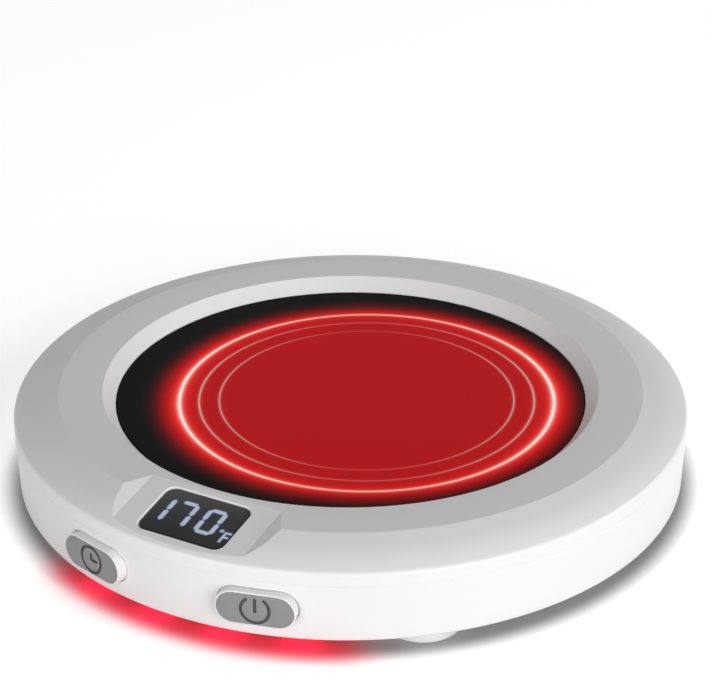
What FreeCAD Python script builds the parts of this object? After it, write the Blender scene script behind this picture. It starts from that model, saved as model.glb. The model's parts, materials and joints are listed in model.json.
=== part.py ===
"""Electric mug warmer: a round white casing with a black heated plate, a sloped temperature
display, two push buttons on its side wall and a lit strip under its front edge.

Millimetres and degrees. The origin is on the casing's axis at the level of the foot pads'
undersides, +Z is up, and the display faces -Y. Angles round the axis are counted from -Y
towards +X.
"""
import FreeCAD, Part
import math
import os

import Sketcher

# Driving sizes

SIZES = [
    # The casing's outside
    ("outer_radius", 65.0, "side wall at its top"),
    ("wall_draft", 0.4, "how much the side wall draws in towards its lower edge"),
    ("foot_gap", 2.2, "height of the casing above the table"),
    ("casing_rise", 16.85, "middle band above the side wall's lower edge"),
    ("upper_depth", 5.55, "seam below the middle band"),
    ("lower_edge_radius", 0.5, "rounding of the side wall's lower edge"),
    ("rim_radius", 1.0, "rounding between the outer band and the side wall"),
    ("outer_band", 8.66, "width of the sloped outer band"),
    ("band_straight", 2.66, "straight part of the outer band, next to the crease"),
    ("band_slope", 13.7, "slope of the outer band at the crease, in degrees"),
    ("band_curve", 23.4, "radius of the outer band's curved part"),
    ("middle_band", 8.44, "width of the flat middle band"),
    ("chamfer_width", 2.4, "width of the chamfer round the plate"),
    ("plate_drop", 2.6, "plate below the middle band"),
    ("wall", 2.0, "thickness of both casings"),
    ("floor", 2.0, "thickness of the lower casing's floor"),
    ("tongue_height", 1.2, "lap between the two casings"),
    ("fit", 0.1, "clearance between fitted pieces"),
    # The heated plate and what lies under it
    ("plate_gap", 0.15, "gap between the plate and the chamfer"),
    ("plate_flange", 2.7, "how far the plate's flange reaches under the casing's lip"),
    ("flange_thickness", 1.2, "thickness of the plate's flange"),
    ("plate_edge_radius", 0.3, "rounding of the plate's upper edge"),
    ("lip_thickness", 0.7, "edge of the casing's lip over the seal"),
    ("seal_thickness", 0.5, "silicone seal"),
    ("collar", 1.2, "thickness of the collar round the plate's flange"),
    ("heater_inset", 5.35, "edge of the flat heater inside the plate's"),
    ("heater_thickness", 0.6, "flat heater"),
    ("pad_thickness", 1.5, "heat insulation under the heater"),
    ("pan_thickness", 0.6, "sheet of the steel pan"),
    ("pan_room", 1.0, "between the heater's edge and the pan's upright wall"),
    ("ear_reach", 5.1, "how far the pan's ears reach past the collar"),
    ("ear_width", 6.4, "width of the pan's ears"),
    ("clamp_count", 3.0, "screws that hold the pan"),
    ("clamp_angle", 80.0, "place of the first of them round the axis"),
    ("clamp_boss_radius", 2.6, "bosses for the pan's screws"),
    ("clamp_screw_length", 3.9, "their shanks"),
    ("sensor_stem", 2.4, "radius of the temperature sensor's stem"),
    ("sensor_block", 7.0, "side of the sensor's square block"),
    ("sensor_height", 1.8, "height of the sensor's block"),
    ("fuse_radius", 1.5, "thermal fuse"),
    ("fuse_length", 10.0, "thermal fuse"),
    ("fuse_x", 20.0, "place of the thermal fuse"),
    ("fuse_y", 3.0, "place of the thermal fuse, in front of the axis"),
    ("clip_thickness", 0.4, "strap that holds the fuse to the pan"),
    ("clip_width", 5.0, "the same strap, along the fuse"),
    ("clip_foot", 2.0, "each foot of the strap"),
    ("terminal_side", 1.6, "square posts that feed the heater"),
    ("terminal_x", 11.0, "middle of the two posts"),
    ("terminal_spacing", 4.0, "between the two posts"),
    ("terminal_y", 3.0, "posts in front of the axis"),
    ("terminal_drop", 2.0, "posts below the pan"),
    # The feet and the screws over them
    ("foot_count", 3.0, "foot pads, evenly spaced"),
    ("foot_angle", 42.0, "place of the first foot pad round the axis"),
    ("foot_inset", 8.4, "middle of the foot pads inside the casing's side"),
    ("foot_radius", 7.1, "foot pads"),
    ("foot_seat", 0.6, "depth of the pads' seats in the floor"),
    ("foot_edge", 0.5, "rounding of the pads' lower edges"),
    ("screw_post_radius", 3.4, "posts that take the casing's screws"),
    ("screw_boss_radius", 4.6, "bosses under those posts"),
    ("screw_boss_height", 1.8, "the same bosses, above the floor"),
    ("head_depth", 1.8, "counterbore for the screws' heads"),
    ("head_radius", 2.6, "heads of the casing's screws"),
    ("head_height", 1.6, "heads of the casing's screws"),
    ("shank_radius", 1.3, "shanks of the casing's screws"),
    ("shank_length", 8.0, "shanks of the casing's screws"),
    ("small_head_radius", 1.9, "heads of the small screws"),
    ("small_head_height", 0.9, "heads of the small screws"),
    ("small_shank_radius", 0.8, "shanks of the small screws"),
    # The display
    ("strip_setback", 0.9, "start of the sloped cut outside the chamfer"),
    ("strip_slope", 9.3, "slope of the cut, in degrees"),
    ("strip_half_width", 13.45, "half width of the cut's floor"),
    ("facet_slope", 15.8, "slope of the cut's two sides, in degrees"),
    ("window_width", 17.4, "display window"),
    ("window_length", 12.0, "display window, along the slope"),
    ("window_setback", 1.45, "window's inner edge from the start of the cut"),
    ("window_corner", 2.0, "rounding of the window's corners"),
    ("window_recess", 0.15, "window below the floor of the cut"),
    ("window_thickness", 1.0, "display window"),
    ("window_ledge", 0.9, "ledge that carries the window"),
    ("seat_thickness", 2.0, "casing under the floor of the cut"),
    ("digit_depth", 0.4, "lit figures set into the window"),
    ("digit_half_width", 1.52, "a figure's upright bars from its middle"),
    ("digit_half_height", 2.95, "a figure's top and bottom bars from its middle"),
    ("digit_bar", 0.75, "width of a figure's bars"),
    ("digit_gap", 0.16, "between two bars of a figure"),
    ("digit_row", 7.3, "middle of the figures from the start of the cut"),
    ("one_place", -7.22, "middle of the 1, across"),
    ("seven_place", -2.55, "middle of the 7, across"),
    ("zero_place", 3.27, "middle of the 0, across"),
    ("letter_place", 7.35, "upright of the F, across"),
    ("letter_row", 11.35, "foot of the F from the start of the cut"),
    ("letter_height", 2.7, "the F"),
    ("letter_width", 1.1, "the F"),
    ("letter_bar", 0.34, "width of the F's bars"),
    ("ring_place", 6.4, "degree ring, across"),
    ("ring_row", 8.6, "degree ring from the start of the cut"),
    ("ring_radius", 0.32, "degree ring"),
    ("block_thickness", 2.4, "light block behind the window"),
    ("block_gap", 0.1, "between the window and the light block"),
    ("display_board_width", 26.0, "display board"),
    ("display_board_length", 9.6, "display board"),
    ("display_board_thickness", 1.0, "display board"),
    ("display_screw_place", 10.9, "display board's screws from its middle"),
    ("display_screw_length", 2.2, "their shanks past the board"),
    # The buttons and their switches
    ("button_angle", 14.8, "each button from the display, round the axis"),
    ("button_rise", 6.3, "middle of the buttons above the side wall's lower edge"),
    ("button_width", 14.6, "button caps"),
    ("button_height", 6.7, "button caps"),
    ("button_proud", 1.4, "front of the buttons past the casing's side"),
    ("button_gap", 0.15, "gap round the caps"),
    ("button_edge", 0.2, "rounding of the caps' front edges"),
    ("face_inset", 0.3, "grey face from the cap's edge"),
    ("face_depth", 0.6, "thickness of the grey faces"),
    ("face_proud", 0.05, "grey face in front of its cap's edge"),
    ("lug_setback", 3.0, "front of the caps' retaining lugs inside the casing's side"),
    ("lug_thickness", 1.0, "the same lugs"),
    ("lug_overhang", 0.9, "lugs past each end of the cap"),
    ("stem_radius", 1.5, "stem behind each cap"),
    ("stem_length", 1.4, "stem behind each cap"),
    ("groove_width", 0.55, "engraved signs"),
    ("groove_depth", 0.3, "engraved signs"),
    ("sign_radius", 2.55, "middle of the signs' rings"),
    ("power_gap", 34.0, "half of the opening in the power sign's ring, in degrees"),
    ("power_bar_foot", -0.6, "lower end of the power sign's bar"),
    ("power_bar_head", 2.3, "upper end of the power sign's bar"),
    ("clock_hand_up", 1.3, "upright hand of the clock sign"),
    ("clock_hand_side", 1.7, "sideways hand of the clock sign"),
    ("button_travel", 0.6, "how far the buttons go in"),
    ("switch_side", 6.0, "side of the switches' square bodies"),
    ("switch_depth", 3.5, "switch bodies, along the buttons' travel"),
    ("plunger_radius", 1.75, "switch plungers"),
    ("plunger_fit", 0.05, "clearance round the plungers"),
    ("plunger_sunk", 1.6, "plunger inside its switch at rest"),
    ("plunger_proud", 1.0, "plunger in front of its switch at rest"),
    ("switch_board_width", 16.0, "switch boards"),
    ("switch_board_height", 7.7, "switch boards"),
    ("switch_board_thickness", 1.2, "switch boards"),
    ("slot_depth", 1.0, "switch board's ends inside their posts"),
    ("slot_post_width", 2.4, "posts that hold the switch boards"),
    ("slot_post_depth", 3.6, "the same posts, along the buttons' travel"),
    ("slot_post_height", 6.0, "the same posts"),
    # The lit strip under the front edge
    ("glow_angle", 2.0, "middle of the lit strip round the axis"),
    ("glow_half_angle", 28.5, "half of the lit strip, in degrees"),
    ("glow_inset", 2.5, "outer edge of the strip from the wall's lower edge"),
    ("glow_width", 2.0, "lit strip"),
    ("glow_lens_thickness", 1.0, "lit strip's lens"),
    ("glow_board_width", 3.0, "board over the strip"),
    ("glow_board_thickness", 0.8, "board over the strip"),
    ("light_count", 4.0, "lights on the board"),
    ("light_spacing", 12.8, "between the lights round the axis, in degrees"),
    ("light_length", 3.0, "lights"),
    ("light_width", 1.6, "lights"),
    ("light_height", 0.7, "lights"),
    # The control board
    ("board_width", 44.0, "control board"),
    ("board_length", 32.0, "control board, front to back"),
    ("board_thickness", 1.6, "control board"),
    ("board_room", 6.1, "between the control board and the posts of the lead's bar"),
    ("board_lift", 2.0, "control board above the floor"),
    ("board_corner", 2.0, "rounding of the board's corners"),
    ("board_screw_inset", 3.2, "screws from the board's edges"),
    ("standoff_radius", 2.4, "posts under the board"),
    ("board_screw_length", 3.0, "shanks of the board's screws"),
    ("chip_side", 7.0, "microcontroller"),
    ("chip_height", 1.5, "microcontroller"),
    ("capacitor_radius", 2.0, "capacitors"),
    ("capacitor_height", 2.8, "capacitors"),
    ("triac_side", 6.5, "triac"),
    ("triac_height", 2.3, "triac"),
    ("connector_height", 3.0, "connectors"),
    ("connector_depth", 4.0, "connectors, front to back"),
    ("connector_inset", 2.0, "connectors behind the board's front edge"),
    ("glow_wire_count", 2.0, "wires in a connector"),
    ("timer_wire_count", 2.0, "wires in a connector"),
    ("heater_wire_count", 1.0, "wires in a connector"),
    ("display_wire_count", 4.0, "wires in a connector"),
    ("sensor_wire_count", 2.0, "wires in a connector"),
    ("power_wire_count", 2.0, "wires in a connector"),
    ("fuse_wire_count", 1.0, "wires in a connector"),
    ("connector_end", 0.5, "connector past its outer wires' room"),
    # Where the supply lead comes in
    ("lead_radius", 2.9, "bore for the supply lead"),
    ("gland_proud", 1.15, "outer face of the gland past the casing's side"),
    ("gland_length", 8.0, "gland"),
    ("gland_wall", 0.7, "thickness of the gland's neck"),
    ("gland_flange", 1.1, "thickness of the gland's outer flange"),
    ("gland_flange_radius", 4.6, "the gland's outer flange"),
    ("gland_inner_radius", 4.2, "the gland's inner flange"),
    ("cord_bar_length", 17.0, "bar that clamps the lead"),
    ("cord_bar_width", 5.0, "bar that clamps the lead"),
    ("cord_bar_thickness", 1.6, "bar that clamps the lead"),
    ("cord_bar_inset", 12.5, "middle of the bar inside the casing's side"),
    ("cord_squeeze", 0.2, "how far the bar presses into the lead"),
    ("cord_post_radius", 2.4, "posts under the bar"),
    ("cord_post_spacing", 12.0, "between those posts"),
    ("cord_screw_length", 4.0, "shanks of the bar's screws"),
    # Openings in the floor
    ("vent_count", 12.0, "air slots"),
    ("vent_inner", 22.0, "inner ends of the air slots"),
    ("vent_length", 10.0, "air slots"),
    ("vent_width", 2.0, "air slots"),
    # Inner wires
    ("wire_radius", 0.45, "inner wires"),
    ("thin_wire_radius", 0.35, "wires of the display and the lights"),
    ("wire_spacing", 1.3, "between the wires of a group"),
    ("wire_level", 2.45, "low wires above the control board's underside"),
    ("fuse_wire_reach", 13.0, "fuse's wire in front of the heater's posts"),
]

doc = FreeCAD.newDocument("MugWarmer")
sheet = doc.addObject("Spreadsheet::Sheet", "Sizes")
for row, (alias, number, note) in enumerate(SIZES, start=1):
    sheet.set(f"A{row}", note)
    sheet.set(f"B{row}", repr(number))
    sheet.setAlias(f"B{row}", alias)
doc.recompute()


# Sizes that are known both as a number and as the document's own formula

class Size:
    """A length or an angle: its number now, and the formula that keeps it up to date."""

    def __init__(self, number, formula):
        self.number = number
        self.formula = formula

    def __add__(self, other):
        other = as_size(other)
        return Size(self.number + other.number, f"({self.formula} + {other.formula})")

    def __sub__(self, other):
        other = as_size(other)
        return Size(self.number - other.number, f"({self.formula} - {other.formula})")

    def __mul__(self, other):
        other = as_size(other)
        return Size(self.number * other.number, f"({self.formula} * {other.formula})")

    def __truediv__(self, other):
        other = as_size(other)
        return Size(self.number / other.number, f"({self.formula} / {other.formula})")

    def __neg__(self):
        return Size(-self.number, f"(0 - {self.formula})")

    __radd__ = __add__
    __rmul__ = __mul__

    def __rsub__(self, other):
        return as_size(other) - self

    def __rtruediv__(self, other):
        return as_size(other) / self


def as_size(value):
    return value if isinstance(value, Size) else Size(float(value), f"({value!r})")


def sine(angle):
    angle = as_size(angle)
    return Size(math.sin(math.radians(angle.number)), f"sin({angle.formula})")


def cosine(angle):
    angle = as_size(angle)
    return Size(math.cos(math.radians(angle.number)), f"cos({angle.formula})")


def tangent(angle):
    angle = as_size(angle)
    return Size(math.tan(math.radians(angle.number)), f"tan({angle.formula})")


def root(value):
    return Size(math.sqrt(value.number), f"sqrt({value.formula})")


def size(alias):
    return Size(float(sheet.get(alias)), f"Sizes.{alias}")


def counted(alias):
    return int(round(float(sheet.get(alias))))


ZERO = as_size(0)
QUARTER = as_size(90)
X_AXIS = FreeCAD.Vector(1, 0, 0)
Y_AXIS = FreeCAD.Vector(0, 1, 0)
Z_AXIS = FreeCAD.Vector(0, 0, 1)


def round_axis(reach, angle):
    """The place at a distance from the axis, at an angle from -Y towards +X."""
    return reach * sine(angle), -(reach * cosine(angle))


# Bodies, sketches and features

def new_body(label):
    body = doc.addObject("PartDesign::Body", label)
    body.Label = label
    return body


def origin_part(body, role):
    return next(part for part in body.Origin.OriginFeatures if part.Role == role)


def place(thing, where=(ZERO, ZERO, ZERO), axis=Z_AXIS, angle=ZERO, prop="Placement"):
    """Puts a thing at a place, turned about an axis, and binds both to the sheet."""
    base = FreeCAD.Vector(*[as_size(value).number for value in where])
    turn = as_size(angle)
    setattr(thing, prop, FreeCAD.Placement(base, FreeCAD.Rotation(axis, turn.number)))
    for letter, value in zip("xyz", where):
        thing.setExpression(f"{prop}.Base.{letter}", as_size(value).formula)
    if turn.number:
        thing.setExpression(f"{prop}.Rotation.Angle", turn.formula)


def turned(thing, angle, where=(ZERO, ZERO, ZERO), prop="Placement"):
    """The same, turned about the upright axis, where the angle may be negative."""
    axis = Z_AXIS if angle.number >= 0 else -Z_AXIS
    place(thing, where, axis, angle if angle.number >= 0 else -angle, prop)


class Bend:
    """An arc to the next corner of an outline, to the left or the right of the way there."""

    def __init__(self, radius, left=True):
        self.radius = as_size(radius)
        self.left = left


class Drawing:
    """A sketch whose corners, arcs and circles are bound to the sheet."""

    def __init__(self, body, name, role, where=(ZERO, ZERO, ZERO), axis=Z_AXIS, angle=ZERO):
        self.sketch = body.newObject("Sketcher::SketchObject", name)
        self.sketch.AttachmentSupport = [(origin_part(body, role), "")]
        self.sketch.MapMode = "FlatFace"
        if as_size(angle).number < 0:
            axis, angle = -axis, -angle
        place(self.sketch, where, axis, angle, "AttachmentOffset")

    def bind(self, value, kind, *what):
        value = as_size(value)
        index = self.sketch.addConstraint(Sketcher.Constraint(kind, *what, value.number))
        name = f"size{index}"
        self.sketch.renameConstraint(index, name)
        self.sketch.setExpression(f"Constraints.{name}", value.formula)

    def pin(self, geometry, point, x, y):
        self.bind(x, "DistanceX", -1, 1, geometry, point)
        self.bind(y, "DistanceY", -1, 1, geometry, point)

    def circle(self, x, y, radius):
        x, y, radius = as_size(x), as_size(y), as_size(radius)
        centre = FreeCAD.Vector(x.number, y.number, 0)
        geometry = self.sketch.addGeometry(Part.Circle(centre, Z_AXIS, radius.number))
        self.pin(geometry, 3, x, y)
        self.bind(radius, "Radius", geometry)

    def outline(self, corners):
        """A closed outline. Each corner is (x, y), or (x, y, Bend) where an arc leaves it."""
        ends = [(as_size(corner[0]), as_size(corner[1])) for corner in corners]
        dots = [FreeCAD.Vector(x.number, y.number, 0) for x, y in ends]
        pieces = []
        for index, corner in enumerate(corners):
            start, end = dots[index], dots[(index + 1) % len(dots)]
            if len(corner) < 3:
                geometry = self.sketch.addGeometry(Part.LineSegment(start, end))
                pieces.append((geometry, 1, 2))
                continue
            bend = corner[2]
            chord = end - start
            reach = math.sqrt(max(bend.radius.number ** 2 - chord.Length ** 2 / 4, 0))
            side = FreeCAD.Vector(-chord.y, chord.x, 0)
            side.normalize()
            centre = (start + end) * 0.5 + side * (reach if bend.left else -reach)
            first, last = (start, end) if bend.left else (end, start)
            angles = [math.atan2(dot.y - centre.y, dot.x - centre.x) for dot in (first, last)]
            round_part = Part.Circle(centre, Z_AXIS, bend.radius.number)
            geometry = self.sketch.addGeometry(Part.ArcOfCircle(round_part, *angles))
            pieces.append((geometry, 1, 2) if bend.left else (geometry, 2, 1))
        for index, (geometry, first, last) in enumerate(pieces):
            following, its_first, _ = pieces[(index + 1) % len(pieces)]
            join = Sketcher.Constraint("Coincident", geometry, last, following, its_first)
            self.sketch.addConstraint(join)
            self.pin(geometry, first, *ends[index])
            if len(corners[index]) < 3:
                continue
            bend = corners[index][2]
            start, end = ends[index], ends[(index + 1) % len(ends)]
            across, along = end[0] - start[0], end[1] - start[1]
            if abs(math.hypot(across.number, along.number) - 2 * bend.radius.number) > 1e-6:
                self.bind(bend.radius, "Radius", geometry)
            elif abs(along.number) > abs(across.number):
                self.bind((start[0] + end[0]) / 2, "DistanceX", -1, 1, geometry, 3)
            else:
                self.bind((start[1] + end[1]) / 2, "DistanceY", -1, 1, geometry, 3)

    def box(self, left, right, low, high, corner=None):
        """A rectangle, with rounded corners where a radius is given."""
        left, right, low, high = [as_size(value) for value in (left, right, low, high)]
        if corner is None:
            self.outline([(left, low), (right, low), (right, high), (left, high)])
            return
        bend = Bend(corner)
        self.outline([
            (left + corner, low), (right - corner, low, bend),
            (right, low + corner), (right, high - corner, bend),
            (right - corner, high), (left + corner, high, bend),
            (left, high - corner), (left, low + corner, bend),
        ])

    def oval(self, x, y, width, height):
        """A flat oval with half-round ends."""
        half, bend = width / 2 - height / 2, Bend(height / 2)
        low, high = y - height / 2, y + height / 2
        self.outline([
            (x - half, low), (x + half, low, bend), (x + half, high), (x - half, high, bend),
        ])


def feature(body, kind, name, drawing, length=None, backwards=False):
    """A pad, pocket or turned feature, made now, which has to change the solid's volume."""
    before = body.Shape.Volume if body.Shape and not body.Shape.isNull() else 0.0
    made = body.newObject(f"PartDesign::{kind}", name)
    made.Profile = drawing.sketch
    if length is None:
        made.ReferenceAxis = (drawing.sketch, ["V_Axis"])
        made.Angle = 360
    else:
        made.setExpression("Length", as_size(length).formula)
        made.Reversed = backwards
    doc.recompute()
    grows = kind in ("Pad", "Revolution")
    change = body.Shape.Volume - before
    if (change <= 0) == grows or abs(change) < 1e-6:
        raise RuntimeError(f"{body.Label}: {name} changes the volume by {change:.4f}")
    return made


def pad(body, name, drawing, length, backwards=False):
    return feature(body, "Pad", name, drawing, length, backwards)


def pocket(body, name, drawing, length, backwards=False):
    return feature(body, "Pocket", name, drawing, length, backwards)


def revolve(body, name, drawing):
    return feature(body, "Revolution", name, drawing)


def repeat_round(body, name, originals, count):
    """Repeats features round the casing's axis."""
    before = body.Shape.Volume
    pattern = body.newObject("PartDesign::PolarPattern", name)
    pattern.Originals = originals
    pattern.Axis = (origin_part(body, "Z_Axis"), [""])
    pattern.Angle = 360
    pattern.setExpression("Occurrences", f"Sizes.{count}")
    body.Tip = pattern
    doc.recompute()
    if abs(body.Shape.Volume - before) < 1e-6:
        raise RuntimeError(f"{body.Label}: {name} repeats nothing")
    return pattern


# Simple solids and their joins

def solid(kind, name, where=(ZERO, ZERO, ZERO), axis=Z_AXIS, angle=ZERO, **sizes):
    thing = doc.addObject(f"Part::{kind}", name)
    for prop, value in sizes.items():
        thing.setExpression(prop, as_size(value).formula)
    place(thing, where, axis, angle)
    return thing


def block(name, middle, width, length, height):
    """A box, given by the middle of its underside."""
    x, y, z = middle
    corner = (as_size(x) - as_size(width) / 2, as_size(y) - as_size(length) / 2, as_size(z))
    return solid("Box", name, corner, Length=width, Width=length, Height=height)


def rod(name, foot, radius, height, axis=Z_AXIS, angle=ZERO):
    return solid("Cylinder", name, foot, axis, angle, Radius=radius, Height=height)


def join(name, *pieces):
    fused = doc.addObject("Part::MultiFuse", name)
    fused.Shapes = list(pieces)
    fused.Label = name
    return fused


def cut(name, base, tool):
    made = doc.addObject("Part::Cut", name)
    made.Base = base
    made.Tool = tool
    made.Label = name
    return made


def washer(name, inner, outer, low, thickness):
    disc = rod(f"{name}_disc", (ZERO, ZERO, low), outer, thickness)
    hole = rod(f"{name}_hole", (ZERO, ZERO, low - thickness), inner, thickness * 3)
    return cut(name, disc, hole)


def screws(name, places, head_radius, head_height, shank_radius, shank_length, up=True):
    """Screws whose heads lie under their places, or on them where they point down."""
    pieces = []
    for index, (x, y, z) in enumerate(places):
        head_foot = z - head_height if up else z
        shank_foot = z - head_height if up else z - shank_length
        shank_full = shank_length + head_height
        head = rod(f"{name}_head{index}", (x, y, head_foot), head_radius, head_height)
        shank = rod(f"{name}_shank{index}", (x, y, shank_foot), shank_radius, shank_full)
        pieces += [head, shank]
    return join(name, *pieces)


def group(name, solids):
    """Separate solids under one name, made in code and set down where they lie."""
    made = doc.addObject("Part::Feature", name)
    made.Shape = Part.makeCompound(solids)
    made.Label = name
    made.Placement = FreeCAD.Placement()
    return made


# Levels and radii that several pieces share

outer_radius = size("outer_radius")
wall = size("wall")
fit = size("fit")
casing_low = size("foot_gap")
floor_top = casing_low + size("floor")
band_top = casing_low + size("casing_rise")
seam = band_top - size("upper_depth")
lower_radius = outer_radius - size("wall_draft")
crease_radius = outer_radius - size("outer_band")
band_inner = crease_radius - size("middle_band")
opening_radius = band_inner - size("chamfer_width")
plate_top = band_top - size("plate_drop")
seal_top = plate_top - size("lip_thickness")
flange_top = seal_top - size("seal_thickness")
flange_low = flange_top - size("flange_thickness")
plate_radius = opening_radius - size("plate_gap")
flange_radius = opening_radius + size("plate_flange")
collar_inner = flange_radius + fit
collar_outer = collar_inner + size("collar")
ceiling = band_top - wall
pan_low = flange_low - size("heater_thickness") - size("pad_thickness") - size("pan_thickness")
button_level = casing_low + size("button_rise")
post_low = floor_top + size("screw_boss_height")
tongue_top = seam + size("tongue_height")
tongue_outer = outer_radius - wall / 2 - fit
button_reach = outer_radius + size("button_proud")
lug_reach = outer_radius - size("lug_setback")
gland_reach = outer_radius + size("gland_proud")
strip_start = band_inner + size("strip_setback")
foot_circle = outer_radius - size("foot_inset")
heater_radius = plate_radius - size("heater_inset")
pan_radius = heater_radius + size("pan_room") + size("pan_thickness")
cord_bar_place = outer_radius - size("cord_bar_inset")
board_rear = cord_bar_place - size("cord_post_radius") - size("board_room")
board_front = board_rear - size("board_length")
board_low = floor_top + size("board_lift")
board_top = board_low + size("board_thickness")


# Upper casing

def casing_top():
    """The white ring-shaped cover, turned in one piece, with the cut for the display."""
    body = new_body("top_shell")
    slope = size("band_slope")
    curve, rim = size("band_curve"), size("rim_radius")
    bend_start = crease_radius + size("band_straight")
    bend_level = band_top - size("band_straight") * tangent(slope)
    curve_r = bend_start - curve * sine(slope)
    curve_z = bend_level - curve * cosine(slope)
    rim_r = outer_radius - rim
    rim_z = curve_z + root((curve - rim) * (curve - rim) - (rim_r - curve_r) * (rim_r - curve_r))
    share = curve / (curve - rim)
    touch_r = curve_r + (rim_r - curve_r) * share
    touch_z = curve_z + (rim_z - curve_z) * share

    section = Drawing(body, "top_section", "XZ_Plane")
    section.outline([
        (opening_radius, seal_top),
        (collar_inner, seal_top),
        (collar_inner, flange_low),
        (collar_outer, flange_low),
        (collar_outer, ceiling),
        (crease_radius, ceiling),
        (bend_start, bend_level - wall),
        (outer_radius - wall, tongue_top + fit),
        (outer_radius - wall / 2, tongue_top + fit),
        (outer_radius - wall / 2, seam),
        (outer_radius, seam),
        (outer_radius, rim_z, Bend(rim)),
        (touch_r, touch_z, Bend(curve)),
        (bend_start, bend_level),
        (crease_radius, band_top),
        (band_inner, band_top),
        (opening_radius, plate_top),
    ])
    revolve(body, "top_ring", section)

    x, y = round_axis(foot_circle, size("foot_angle"))
    top_of_posts = ceiling + fit * 2
    posts = Drawing(body, "post_circle", "XY_Plane", (ZERO, ZERO, post_low))
    posts.circle(x, y, size("screw_post_radius"))
    post = pad(body, "post", posts, top_of_posts - post_low)
    pilots = Drawing(body, "post_pilot_circle", "XY_Plane", (ZERO, ZERO, post_low))
    pilots.circle(x, y, size("shank_radius") + fit / 2)
    pilot = pocket(body, "post_pilot", pilots, size("shank_length") + fit, backwards=True)
    repeat_round(body, "posts_round", [post, pilot], "foot_count")

    x, y = round_axis(collar_outer + size("ear_reach") / 2, size("clamp_angle"))
    bosses = Drawing(body, "clamp_circle", "XY_Plane", (ZERO, ZERO, flange_low))
    bosses.circle(x, y, size("clamp_boss_radius"))
    boss = pad(body, "clamp_boss", bosses, top_of_posts - flange_low)
    pilots = Drawing(body, "clamp_pilot_circle", "XY_Plane", (ZERO, ZERO, flange_low))
    pilots.circle(x, y, size("small_shank_radius") + fit / 2)
    depth = size("clamp_screw_length") - size("pan_thickness") + fit
    pilot = pocket(body, "clamp_pilot", pilots, depth, backwards=True)
    repeat_round(body, "clamps_round", [boss, pilot], "clamp_count")

    display_cut(body)
    return body


def on_strip(body, name, depth):
    """A drawing on a plane parallel to the floor of the display's cut, at a depth below it.

    Across is x, and down the slope is -y, both counted from the start of the cut.
    """
    slope = size("strip_slope")
    y = depth * sine(slope) - strip_start
    z = band_top - depth * cosine(slope)
    return Drawing(body, name, "XY_Plane", (ZERO, y, z), X_AXIS, slope)


def window_span():
    inner = -size("window_setback")
    return inner - size("window_length"), inner


def display_cut(body):
    """The sloped cut with its two facets, the window's seat and the board's bosses."""
    slope = size("strip_slope")
    half = size("strip_half_width")
    low, high = window_span()
    seat_depth = size("seat_thickness")
    rim_cover = size("display_screw_place") + size("small_head_radius") + fit
    seat = on_strip(body, "seat_plan", seat_depth)
    seat.box(-rim_cover, rim_cover, low - fit * 2, high + size("window_setback") * 0.7)
    pad(body, "seat", seat, seat_depth * 0.85)

    height = seat_depth * 3
    reach = (outer_radius - strip_start) * 1.25
    wedge = body.newObject("PartDesign::SubtractiveWedge", "strip_cut")
    flare = height / tangent(size("facet_slope"))
    values = {
        "Xmin": -half, "Xmax": half, "X2min": -(half + flare), "X2max": half + flare,
        "Ymin": ZERO, "Ymax": height,
        "Zmin": ZERO, "Zmax": reach, "Z2min": ZERO, "Z2max": reach,
    }
    for prop in values:
        wedge.setExpression(prop, values[prop].formula)
    upright = FreeCAD.Rotation(X_AXIS, 90 + slope.number)
    wedge.Placement = FreeCAD.Placement(
        FreeCAD.Vector(0, -strip_start.number, band_top.number), upright)
    wedge.setExpression("Placement.Base.y", (-strip_start).formula)
    wedge.setExpression("Placement.Base.z", band_top.formula)
    wedge.setExpression("Placement.Rotation.Angle", (QUARTER + slope).formula)
    before = body.Shape.Volume
    doc.recompute()
    if body.Shape.Volume > before - 100:
        raise RuntimeError("the display's cut removes nothing")

    half_window = size("window_width") / 2
    rebate = on_strip(body, "rebate_plan", ZERO)
    rebate.box(-half_window, half_window, low, high, size("window_corner"))
    depth = size("window_recess") + size("window_thickness")
    pocket(body, "rebate", rebate, depth)

    ledge = size("window_ledge")
    light = on_strip(body, "light_plan", ZERO)
    light.box(-half_window + ledge, half_window - ledge, low + ledge, high - ledge)
    pocket(body, "light_opening", light, seat_depth * 1.6)

    deep = board_depth()
    middle = (low + high) / 2
    bosses = on_strip(body, "board_boss_plan", deep)
    for side in (-1, 1):
        bosses.circle(size("display_screw_place") * side, middle, size("small_head_radius"))
    pad(body, "board_bosses", bosses, deep - seat_depth + fit)
    pilots = on_strip(body, "board_pilot_plan", deep)
    for side in (-1, 1):
        x = size("display_screw_place") * side
        pilots.circle(x, middle, size("small_shank_radius") + fit / 2)
    depth = size("display_screw_length") + fit
    pocket(body, "board_pilots", pilots, depth, backwards=True)


def board_depth():
    """How deep the display board's upper face lies under the floor of the cut."""
    lens = size("window_recess") + size("window_thickness")
    return lens + size("block_gap") + size("block_thickness")


# Lower casing

def casing_base():
    """The white tray with the side wall, its bosses, posts and openings."""
    body = new_body("base_shell")
    edge = size("lower_edge_radius")
    section = Drawing(body, "base_section", "XZ_Plane")
    section.outline([
        (ZERO, casing_low),
        (lower_radius - edge, casing_low, Bend(edge)),
        (lower_radius, casing_low + edge),
        (outer_radius, seam),
        (tongue_outer, seam),
        (tongue_outer, tongue_top),
        (outer_radius - wall, tongue_top),
        (lower_radius - wall, floor_top),
        (ZERO, floor_top),
    ])
    revolve(body, "tray", section)
    foot_bosses(body)
    side_openings(body)
    switch_posts(body)
    glow_slot(body)
    board_posts(body)
    cord_posts(body)
    air_slots(body)
    return body


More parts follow.
